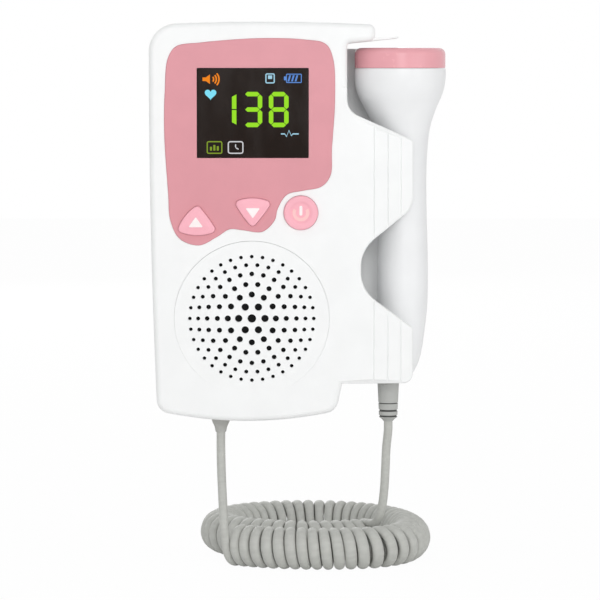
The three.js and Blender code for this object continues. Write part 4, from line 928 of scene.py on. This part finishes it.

# Probe: a round section whose radius and middle follow listed shares of its length
probe = {"x": 51, "y": -18.4, "top": 59.3, "length": 113.2, "head": 15.6, "drift": 3.8, "wall": 1.7,
         "spigot": 13.15, "spigotHeight": 3.6, "spigotFoot": 2, "rim": 0.25, "band": 15.45,
         "bandRound": 2.2, "bandEdge": 0.2, "bandHeight": 6.905, "lens": 12.55, "lensThick": 2.4,
         "lensDome": 0.5, "lensFit": 0.15, "hollow": [0.1, 0.86], "mouthHigh": 5, "mouthTall": 6.5,
         "well": 2.7, "wellTall": 3.9, "steps": 96, "rows": 150, "partingDeep": 0.09, "partingWide": 0.012}
sectionShares = np.array([
    [0.0607, 1, 0], [0.085, 1, 0], [0.117, 0.972, 0], [0.145, 0.91, 0], [0.172, 0.815, -0.03],
    [0.199, 0.73, -0.07], [0.226, 0.653, -0.13], [0.254, 0.598, -0.18], [0.283, 0.56, -0.24],
    [0.33, 0.527, -0.276], [0.39, 0.515, -0.276], [0.5, 0.525, -0.276], [0.61, 0.548, -0.276],
    [0.72, 0.556, -0.276], [0.77, 0.553, -0.25], [0.815, 0.545, -0.166], [0.86, 0.535, -0.046],
    [0.905, 0.522, 0.092], [0.94, 0.5, 0.24], [0.965, 0.47, 0.414], [0.985, 0.43, 0.645], [1, 0.37, 1],
])
sectionLine = smoothLine(sectionShares, samples=12)


def shareHeight(share):
    return probe["top"] - share * probe["length"]


def probeAt(share):           # radius and middle of the probe at a share of its length
    radius, drift = (np.interp(share, sectionLine[:, 0], sectionLine[:, k]) for k in (1, 2))
    return radius * probe["head"], probe["x"] - probe["drift"] * drift


# A rib across the dock with a round slot that the handle slides out of
def cradle(z):
    radius, middle = probeAt((probe["top"] - z) / probe["length"])
    slot, mouth = radius + lap, middle + dock["cradleMouth"]
    left, right = case["right"] - past, middle - dock["cradleArm"]
    front, back = probe["y"] - slot - dock["cradleArm"], -case["backWall"] + lap
    rib = [[left, front], [right, front], [right, back], [left, back]]
    gap = np.vstack([arc(middle, probe["y"], slot, 90, 270, 40), [mouth, probe["y"] - slot],
                     [mouth, probe["y"] + slot]])
    low, high = z - dock["cradleThick"] / 2, z + dock["cradleThick"] / 2
    return cut(upright("rib", rib, low, high), upright("slot", gap, low - past, high + past))


# The rear: a slab with a round rim, joined to the dock's rear wall and the lip, hollowed, then
# given the battery bay, a pad under the cover, the screw wells and the ribs of the dock
def rearHousing():
    inside, coverFloor = -case["backWall"] + lap, -battery["coverThick"] - lap
    half, wall, foot, top = (battery[key] for key in ("halfWidth", "wall", "bottom", "top"))
    wellRadius = screws["head"] + screws["fit"]
    shell = slab(caseLoop, 0, splitY + seam / 2, case["edge"], case["rim"], 10, "rear_shell")
    shell = join(shell, slab(dockRearLoop, 0, -dock["wall"], *dock["rearEdges"], 6),
                 slab(lipLoop, -case["lipSetback"], splitY + seam / 2, case["lipEdge"], 0, 4))
    shell = cut(shell, slab(roomLoop, splitY - past, -case["backWall"]))
    shell = join(shell, slab(boxLoop(-half - wall, half + wall, foot - wall, top + wall),
                             battery["floor"] - wall, inside))
    pad = combine(slab(inset(coverLoop, -battery["pad"]), coverFloor - battery["pad"], inside),
                  "INTERSECT", slab(inset(roomLoop, -lap), frontY, 0))
    shell = join(shell, pad)
    for x, z in screws["places"]:
        shell = join(shell, rod(x, z, wellRadius + screws["wall"], splitY + seam / 2, inside, 40))
    shell = cut(shell, slab(boxLoop(-half, half, foot, top), battery["floor"], past),
                slab(inset(coverLoop, -seam), coverFloor, past))
    for x, z in screws["places"]:
        shell = cut(shell, rod(x, z, wellRadius, screwBase - lap, past, 40),
                    rod(x, z, screwBore, splitY - past, 0, 24))
    return join(shell, *[cradle(z) for z in dock["cradles"]])


finish(soften(rearHousing(), case["rearSoft"]), "body", "white shell", "white_shell", "rear_housing")


# The cover: a slab cut to the case's own rim, with grip bars that get shorter downwards
def batteryCover():
    cover = combine(slab(coverLoop, -battery["coverThick"], past, name="cover_plate"), "INTERSECT",
                    slab(caseLoop, 0, splitY, case["edge"], 0, 10))
    for i in range(battery["gripCount"]):
        z, thick = battery["gripTop"] - i * battery["gripPitch"], battery["gripWide"] / 2
        half = coverHalf / 2 - i * battery["gripWide"]
        cover = cut(cover, slab(boxLoop(-half, half, z - thick, z + thick, battery["gripRound"]),
                                -battery["gripDeep"], past))
    return cover


finish(soften(batteryCover(), case["rearSoft"]), "cover", "white shell", "white_shell", "battery_cover")


# Cross-recessed screws at the foot of their wells
def caseScrew(name, x, z):
    head, shank, tip = -screws["sunk"], screws["shank"], screwBase - screws["length"]
    body = revolve(name, roundedProfile([
        [0, head], [screws["head"], head, screws["headRound"]], [screws["head"], screwBase, 0.1],
        [shank, screwBase, 0.1], [shank, tip + screws["point"], 0.2], [0, tip],
    ]), x, 0, z, axis="y", steps=48)
    for wideX, wideZ in (screws["cross"], screws["cross"][::-1]):
        slot = boxLoop(x - wideX, x + wideX, z - wideZ, z + wideZ, screws["crossRound"])
        body = cut(body, slab(slot, head + screws["crossDeep"], head - past))
    return body


for i, place in enumerate(screws["places"], 1):
    finish(caseScrew(f"well_screw_{i}", *place), "body", "screw metal", "bright_metal",
           f"case_screw_{i}", angle=40)


print("face")
plate = slab(panelLoop, panelFront, panelBack, panel["edge"], 0, 5, "panel")
cut(plate, *[slab(loop, frontY - 2 * past, 0) for loop in (inset(windowLoop, -seam / 2), *keyHoles)])
finish(soften(plate, panel["soft"]), "body", "pink panel", "pink_panel", "face_panel")
glass = panelFront + panel["windowSunk"]     # depth of the window's face
window = slab(windowLoop, glass, panelBack, panel["windowEdge"], 0, 3, "window")
finish(window, "body", "window black", "window_black", "display_window", angle=40)


# A key: rings of its outline round over an edge, then close on its middle as a low dome,
# whose height falls with the square of the share from the middle
def domedKey(name, loop, top, foot):
    rings = slabRings(loop, top, foot, keys["edge"], 0, 8)
    middle = loop.mean(0)
    first = rings[0][:, [0, 2]]
    dome = [level(middle + (first - middle) * share, top - keys["dome"] * (1 - share**2))
            for share in np.linspace(0, 1, 12)[:-1]]
    return skin(name, dome + rings)


keyTop = frontY - keys["proud"]
keyFoot = frontY + case["face"] + lap
flangeBack = keyFoot + keys["flange"]


# A domed cap with a flange behind the panel and a stem down to its switch
def keyWithStem(name, loop, place):
    cap = domedKey(name, loop, keyTop, keyFoot + keys["capLap"])
    flange = slab(inset(loop, -keys["flange"]), keyFoot, flangeBack)
    stem = rod(*place, keys["stem"], keyFoot + keys["stemLap"], boxOf("up_button")[1][1], 32)
    return join(cap, flange, stem)


# A triangle that stands out of a key, its point up where turn is 1 and down where it is -1
def triangleMark(name, place, turn):
    (x, z), half = place, keys["markWide"] / 2
    foot, tip = z - turn * keys["markRise"] / 2, z + turn * keys["markRise"] / 2
    corners = [[x - half, foot, keys["markRound"]], [x + half, foot, keys["markRound"]],
               [x, tip, keys["markRound"]]]
    top = keyTop - keys["dome"] - keys["markProud"]
    return slab(cornerLoop(corners[::turn], 5), top, top + keys["markThick"], 0.05, 0, 3, name)


for name, loop in (("up", upLoop), ("down", downLoop)):
    key = keyWithStem(f"{name}_key", loop, keys[name])
    finish(key, key.name, "pink key", "pink_key", f"{name}_button")
for name, turn in (("up", 1), ("down", -1)):
    mark = triangleMark(f"{name}_mark", keys[f"{name}Mark"], turn)
    dress(shade(mark, 40), f"{name}_key", "key mark")


# The round key, turned about its axis: a dish, a round rim, a flange and a stem
def powerKey():
    r, dish, back = keys["powerRadius"], keyTop + keys["dish"], boxOf("power_button")[1][1]
    profile = roundedProfile([
        [0, dish], [keys["dishRadius"], dish, 0.5], [keys["dishRim"], keyTop, 0.5], [r, keyTop, 0.7],
        [r, keyFoot], [r + keys["flange"], keyFoot], [r + keys["flange"], flangeBack],
        [keys["stem"], flangeBack], [keys["stem"], back], [0, back],
    ], 7)
    return revolve("power_key", profile, keys["power"][0], 0, keys["power"][1], axis="y", steps=96)


finish(powerKey(), "power_key", "pink key", "pink_key", "power_button")
x, z = keys["power"]          # the symbol: an open arc with a bar in its gap, in the key's dish
ring = arcBand(x, z, keys["markOuter"], keys["markInner"], 150, 390, 48)
bar = boxLoop(x - keys["barHalf"], x + keys["barHalf"], z + keys["barLow"], z + keys["barHigh"], 0.45)
top = keyTop + keys["powerSunk"]
powerMarks = [slab(loop, top, top + keys["markThick"], 0.06, 0, 3, name)
              for name, loop in (("power_mark", ring), ("power_bar", bar))]
for mark, finishName in zip(powerMarks, ("power mark", "key mark")):
    dress(shade(mark, 40), "power_key", finishName)


print("display")
readout = {"proud": 0.03, "sunk": 0.1, "digitTop": 44.5, "digitHeight": 11.85, "bar": 1.5, "gap": 0.12,
           "oneLeft": -6, "oneDrop": 0.85, "oneSlant": 0.8}


def lit(name, loops, finishName):   # fine plates that stand out of the window
    piece = prisms(name, loops, glass - readout["proud"], glass + readout["sunk"])
    dress(piece, "body", finishName)


def barLoop(x0, z0, x1, z1, wide):   # a straight stroke with pointed ends
    a, b = np.array([x0, z0]), np.array([x1, z1])
    tip = unit(b - a) * wide / 2
    side = np.array([-tip[1], tip[0]])
    return np.array([a, a + tip - side, b - tip - side, b, b - tip + side, a + tip + side])


# Seven bars of a digit: top, upper right, lower right, foot, lower left, upper left, middle
def digitLoops(shown, left, width):
    top, foot = readout["digitTop"], readout["digitTop"] - readout["digitHeight"]
    half, bar, gap = (top + foot) / 2, readout["bar"], readout["gap"]
    l, r = left + bar / 2, left + width - bar / 2
    t, f = top - bar / 2, foot + bar / 2
    bars = [(l + gap, t, r - gap, t), (r, t - gap, r, half + gap), (r, half - gap, r, f + gap),
            (l + gap, f, r - gap, f), (l, half - gap, l, f + gap), (l, t - gap, l, half + gap),
            (l + gap, half, r - gap, half)]
    return [barLoop(*bars[k], bar) for k in shown]


def oneLoops():               # two upright strokes, each with a slanted outer end
    left, right = readout["oneLeft"], readout["oneLeft"] + readout["bar"]
    top, half = readout["digitTop"] - readout["oneDrop"], readout["digitHeight"] / 2
    middle, gap = readout["digitTop"] - half, readout["gap"] * 1.5
    upper = np.array([[left, middle + gap], [right, middle + gap], [right, top],
                      [left, top - readout["oneSlant"]]])
    return [upper, (upper * [1, -1] + [0, 2 * middle])[::-1]]


lit("readout_digits", [*oneLoops(), *digitLoops([0, 1, 2, 3, 6], -2.4, 6.6),
                       *digitLoops(range(7), 6.42, 6.65)], "lit green")


# The heart: 16 sin cubed of t across, and a sum of cosines of t, 2t, 3t and 4t upwards
def heartLoop(size):
    t = np.linspace(0, 2 * np.pi, 60, endpoint=False)
    x = 16 * np.sin(t)**3
    z = 13 * np.cos(t) - 5 * np.cos(2 * t) - 2 * np.cos(3 * t) - np.cos(4 * t)
    return np.stack([x, z + 2.5], 1) * size / 32


# The line round a box, from its lower left corner, as two halves
def frameLoops(width, height, thick, round, left=0):
    outer = boxLoop(left, left + width, 0, height, round)
    inner = boxLoop(left + thick, left + width - thick, thick, height - thick, max(round - thick, 0.05))
    half = len(outer) // 2
    return [np.vstack([outer[:half + 1], inner[:half + 1][::-1]]),
            np.vstack([outer[half:], outer[:1], inner[:1], inner[half:][::-1]])]


# Each icon's place on the face, its finish, and its loops drawn from that place
iconFrame = {"width": 5.3, "height": 4.3, "thick": 0.4}
modeFrame, timerFrame = (frameLoops(**iconFrame, round=corner) for corner in (0.7, 0.9))
cellSlant = np.array([[0, 0.5], [0.6, 0.5], [1.2, 2.6], [0.6, 2.6]])
pulse = np.array([[0, 1.1], [1.3, 1.1], [1.9, 0.2], [2.7, 2.3], [3.5, 0.5], [4, 1.1], [6, 1.1]])
hub = (iconFrame["width"] / 2, 2.1)
icons = {
    "heart": ([-13.182, 43.4668], "cyan", [heartLoop(3.9)]),
    "speaker": ([-15.886, 48.7396], "orange", [
        [[0, -0.6], [1.1, -0.6], [2.5, -1.6], [2.5, 1.6], [1.1, 0.6], [0, 0.6]],
        *[arcBand(2.6, 0, radius, radius - 0.5, -42, 42, 9) for radius in (1.4, 2.3, 3.2)]]),
    "card": ([5.239, 47.32], "pale", [*frameLoops(3.2, 3.4, 0.4, 0.6), boxLoop(0.9, 2.3, 1.5, 2.7, 0.1)]),
    "battery": ([11.492, 47.489], "blue", [
        *frameLoops(5.3, 3.1, 0.3, 0.4, 0.7), boxLoop(0, 0.7, 0.9, 2.2, 0.2),
        *[cellSlant + [k, 0] for k in (1.2, 2.4, 3.6)]]),
    "pulse": ([10.478, 29.068], "pale", [np.vstack([pulse, (pulse + [0, 0.42])[::-1]])]),
    "mode": ([-14.534, 23.66], "olive", [
        *modeFrame, boxLoop(1.1, 1.8, 1.1, 2.4, 0.1), boxLoop(2.25, 2.95, 1.1, 3, 0.1),
        boxLoop(3.4, 4.1, 1.1, 2.6, 0.1)]),
    "timer": ([-7.436, 23.66], "white", [
        *timerFrame, barLoop(*hub, 2.65, 3.3, 0.36), barLoop(*hub, 3.7, 1.5, 0.36)]),
}
for name, (place, colour, loops) in icons.items():
    lit(f"readout_{name}", [np.array(loop) + place for loop in loops], f"lit {colour}")


print("speaker disc")


# Holes stand in rings about the middle, six more in each, and each ring starts level with it
def grilleHoles(front, back):
    loops = [circleLoop(speakerX, speakerZ, grille["centreHole"], 28)]
    for k, (radius, hole) in enumerate(grille["rings"], 1):
        loops += [circleLoop(x, z, hole, 22) for x, z in circleLoop(speakerX, speakerZ, radius, 6 * k)]
    return prisms("holes", loops, front, back)


# The disc leans back a little: its face is deepest at the top and flush at the foot. It rests on
# the foot of its bore, so the slack shows as a fine seam that is widest at the top
def speakerDisc():
    loop = circleLoop(speakerX, speakerZ - grille["slack"], grilleRadius - grille["slack"], 160)
    rise = (loop[:, 1] - speakerZ + grilleRadius) / (2 * grilleRadius)
    depth = frontY + grille["flush"] + grille["tilt"] * rise
    disc = skin("speaker_disc", [level(loop, depth), level(loop, grilleHigh[1])])
    return cut(disc, grilleHoles(frontY - past, grilleHigh[1] + past))


finish(soften(speakerDisc(), grille["edge"]), "body", "white shell", "white_shell", "speaker_grille")
clothFront = grilleHigh[1] + grille["clothGap"]
cloth = rod(speakerX, speakerZ, grilleRadius - grille["clothInset"], clothFront,
            clothFront + grille["clothThick"], 96)
cloth.name = "speaker_cloth"
finish(cloth, "body", "black cloth", "black_plastic", angle=40)


print("probe")


# Rows of rings down the handle: the radius and middle follow the shares, and a fine parting
# line runs down both sides as a dip of gaussian section in the radius
def probeShell():
    line = sectionLine[:, 0]
    share = np.interp(np.linspace(0, 1, probe["rows"]), np.linspace(0, 1, len(line)), line)
    radius, middle = probeAt(share)
    base = np.arange(probe["steps"]) / probe["steps"] * 2 * np.pi
    near = np.array([-2, -1, 1, 2]) * probe["partingWide"]
    angle = np.sort(np.concatenate([base, *(near + side for side in (2 * np.pi, np.pi))]) % (2 * np.pi))
    dip = sum(np.exp(-(np.sin(angle - side) / probe["partingWide"])**2) * (np.cos(angle - side) > 0)
              for side in (0, np.pi))

    def ringAt(x, radius, z, angle=base):
        y = probe["y"] + radius * np.sin(angle)
        return np.stack([x + radius * np.cos(angle), y, 0 * angle + z], 1)

    outer = [ringAt(m, r - probe["partingDeep"] * dip, z, angle)
             for m, r, z in zip(middle, radius, shareHeight(share))]
    axis = np.array([probe["x"], probe["y"], 0])      # the top ring makes a soft rim under the band
    top = outer[0] + (axis - outer[0] * [1, 1, 0]) * probe["rim"] / probe["head"]
    rings = [top, *(outer[1:] if share[1] * probe["length"] > probe["rim"] else outer)]
    shell = skin("probe_body", np.array(rings))
    foot = probe["top"] - probe["bandHeight"]
    shell = join(shell, post("spigot", probe["x"], probe["y"], probe["spigot"],
                             foot - probe["spigotFoot"], foot + probe["spigotHeight"], 96))
    inner = share[(share > probe["hollow"][0]) & (share < probe["hollow"][1])][::4]
    innerRadius, innerMiddle = probeAt(inner)
    hollow = [ringAt(m, r - probe["wall"], z)
              for m, r, z in zip(innerMiddle, innerRadius, shareHeight(inner))]
    mouth = ringAt(probe["x"], probe["spigot"] - probe["wall"] / 2, foot + probe["mouthHigh"])
    shell = cut(shell, skin("hollow", np.array([mouth, mouth - [0, 0, probe["mouthTall"]], *hollow])))
    return cut(shell, post("well", *reliefExit[:2], probe["well"], reliefTopZ - past,
                           reliefTopZ + probe["wellTall"]))


finish(probeShell(), "probe", "probe shell", "white_shell", "probe_shell")


# The band's section, turned about the head: a side, a quarter round, a lens seat and a wall
def probeBand():
    foot, top, inner = probe["top"] - probe["bandHeight"] + seam, probe["top"], probe["spigot"] + lap
    seat, lens = foot + probe["spigotHeight"] + lap, probe["lens"] + probe["lensFit"]
    bend = probe["bandRound"]
    return revolve("pink_band", roundedProfile([
        [inner, foot], [probe["band"], foot, probe["bandEdge"]],
        *arc(probe["band"] - bend, top - bend, bend, 0, 90, 10),
        [lens, top, probe["bandEdge"]], [lens, seat], [inner, seat], [inner, foot],
    ], 10), probe["x"], probe["y"], 0, steps=128)


# A low dome, whose height falls with the square of the share of its radius
def probeLens():
    top, share = probe["top"], np.linspace(1, 0, 12)
    back = top - probe["lensThick"]
    face = np.stack([probe["lens"] * share, top - probe["lensDome"] * share**2], 1)
    profile = np.vstack([[0, back], [probe["lens"], back], face])
    return revolve("lens_face", profile, probe["x"], probe["y"], 0)


finish(probeBand(), "probe", "pink band", "pink_panel", "probe_band")
finish(probeLens(), "probe", "lens rubber", "lens_rubber", "probe_lens")


print("battery and inner parts")


# A can with rounded shoulders and a nub, turned about its axis
def batteryCell(name, node):
    low, high = boxOf(node)
    x, y = (low[:2] + high[:2]) / 2
    radius, shoulder = (high[0] - low[0]) / 2, high[2] - cell["nub"]
    return revolve(name, roundedProfile([
        [0, low[2]], [radius, low[2], cell["round"]], [radius, shoulder, cell["round"]],
        [cell["nubRadius"], shoulder, 0.15], [cell["nubRadius"], high[2], cell["nubRound"]], [0, high[2]],
    ]), x, y, 0, steps=64)


for i in (1, 2):
    node = f"battery_cell_{i}"
    finish(batteryCell(f"cell_{i}", node), "body", "cell sleeve", "cell_sleeve", node, angle=40)

carried = {
    "display_module": "bright metal", "up_switch": "black plastic", "down_switch": "black plastic",
    "power_switch": "black plastic", "main_board": "circuit board", "speaker_basket": "bright metal",
    "speaker_cone": "paper cone", "speaker_magnet": "bright metal", "battery_contact_top": "bright metal",
    "battery_contact_bottom": "bright metal", "transducer_crystal": "bright metal",
    "transducer_backing": "black plastic", "probe_board": "circuit board",
}
for node, finishName in carried.items():
    nodes[node].data.materials.clear()
    nodes[node].data.materials.append(finishes[finishName])


print("studio")
studio = {"floor": 2400, "cells": 12, "worldLevel": 0.54, "floorWhite": 0.97, "aim": [15, -20, -10]}
lamps = {                     # place, width and height, power
    "key": ([-620, -620, 700], [700, 700], 1.1), "fill": ([780, -760, 60], [700, 700], 2.0),
    "front": ([120, -1240, 270], [350, 340], 3.6), "rear": ([-250, 1250, 420], [800, 800], 4.4)}


# A wide level floor, as a grid over x and y; the world round it is white to the camera
def studioFloor():
    n, half = studio["cells"], studio["floor"]
    x, y = np.meshgrid(*[np.linspace(-half, half, n + 1)] * 2)
    i, j = np.meshgrid(np.arange(n), np.arange(n))
    first = (j * (n + 1) + i).ravel()
    faces = np.stack([first, first + 1, first + n + 2, first + n + 1], 1)
    return makePiece("studio_floor", np.stack([x, y, 0 * x + wire["floor"]], -1).reshape(-1, 3), faces)


def raysSeen(tree):           # 1 for what the camera sees, directly or in gloss and glass
    path = tree.nodes.new("ShaderNodeLightPath")
    return (Wire(tree, path.outputs["Is Camera Ray"]) + Wire(tree, path.outputs["Is Glossy Ray"])
            + Wire(tree, path.outputs["Is Transmission Ray"]))


# White to the camera and to reflections, with a share left that still takes the shadow
def floorFinish():
    place, shader = startFinish("studio floor", Roughness=0.9)
    tree = place.tree
    speck = place.noise(30, 2)
    feed(shader, Base_Color=speck.blend(tone(242, 242, 241), tone(246, 246, 246)))
    white = place.node("ShaderNodeEmission", inputs={"Color": tone(255, 255, 255), "Strength": 1.0})
    mixed = place.node("ShaderNodeMixShader", inputs={
        0: raysSeen(tree) * studio["floorWhite"], 1: Wire(tree, shader.outputs[0]), 2: white})
    tree.links.new(mixed.socket, tree.nodes["Material Output"].inputs["Surface"])
    return finishes["studio floor"]


floor = studioFloor()
floor.data.materials.append(floorFinish())
for name, (place, wide, power) in lamps.items():
    lamp = bpy.data.lights.new(name, "AREA")
    lamp.shape = "RECTANGLE"
    lamp.size, lamp.size_y = wide[0] * mm, wide[1] * mm
    lamp.energy = power
    box = bpy.data.objects.new(name, lamp)
    box.location = np.array(place) * mm
    direction = box.location - type(box.location)(np.array(studio["aim"]) * mm)
    box.rotation_euler = direction.to_track_quat("Z", "Y").to_euler()
    scene.collection.objects.link(box)
world = bpy.data.worlds.new("studio")
world.use_nodes = True
sky = world.node_tree.nodes["Background"]
sky.inputs["Color"].default_value = (1, 1, 1, 1)
strength = studio["worldLevel"] + raysSeen(world.node_tree) * (1 - studio["worldLevel"])
world.node_tree.links.new(strength.socket, sky.inputs["Strength"])
scene.world = world
scene.view_settings.view_transform = "Standard"
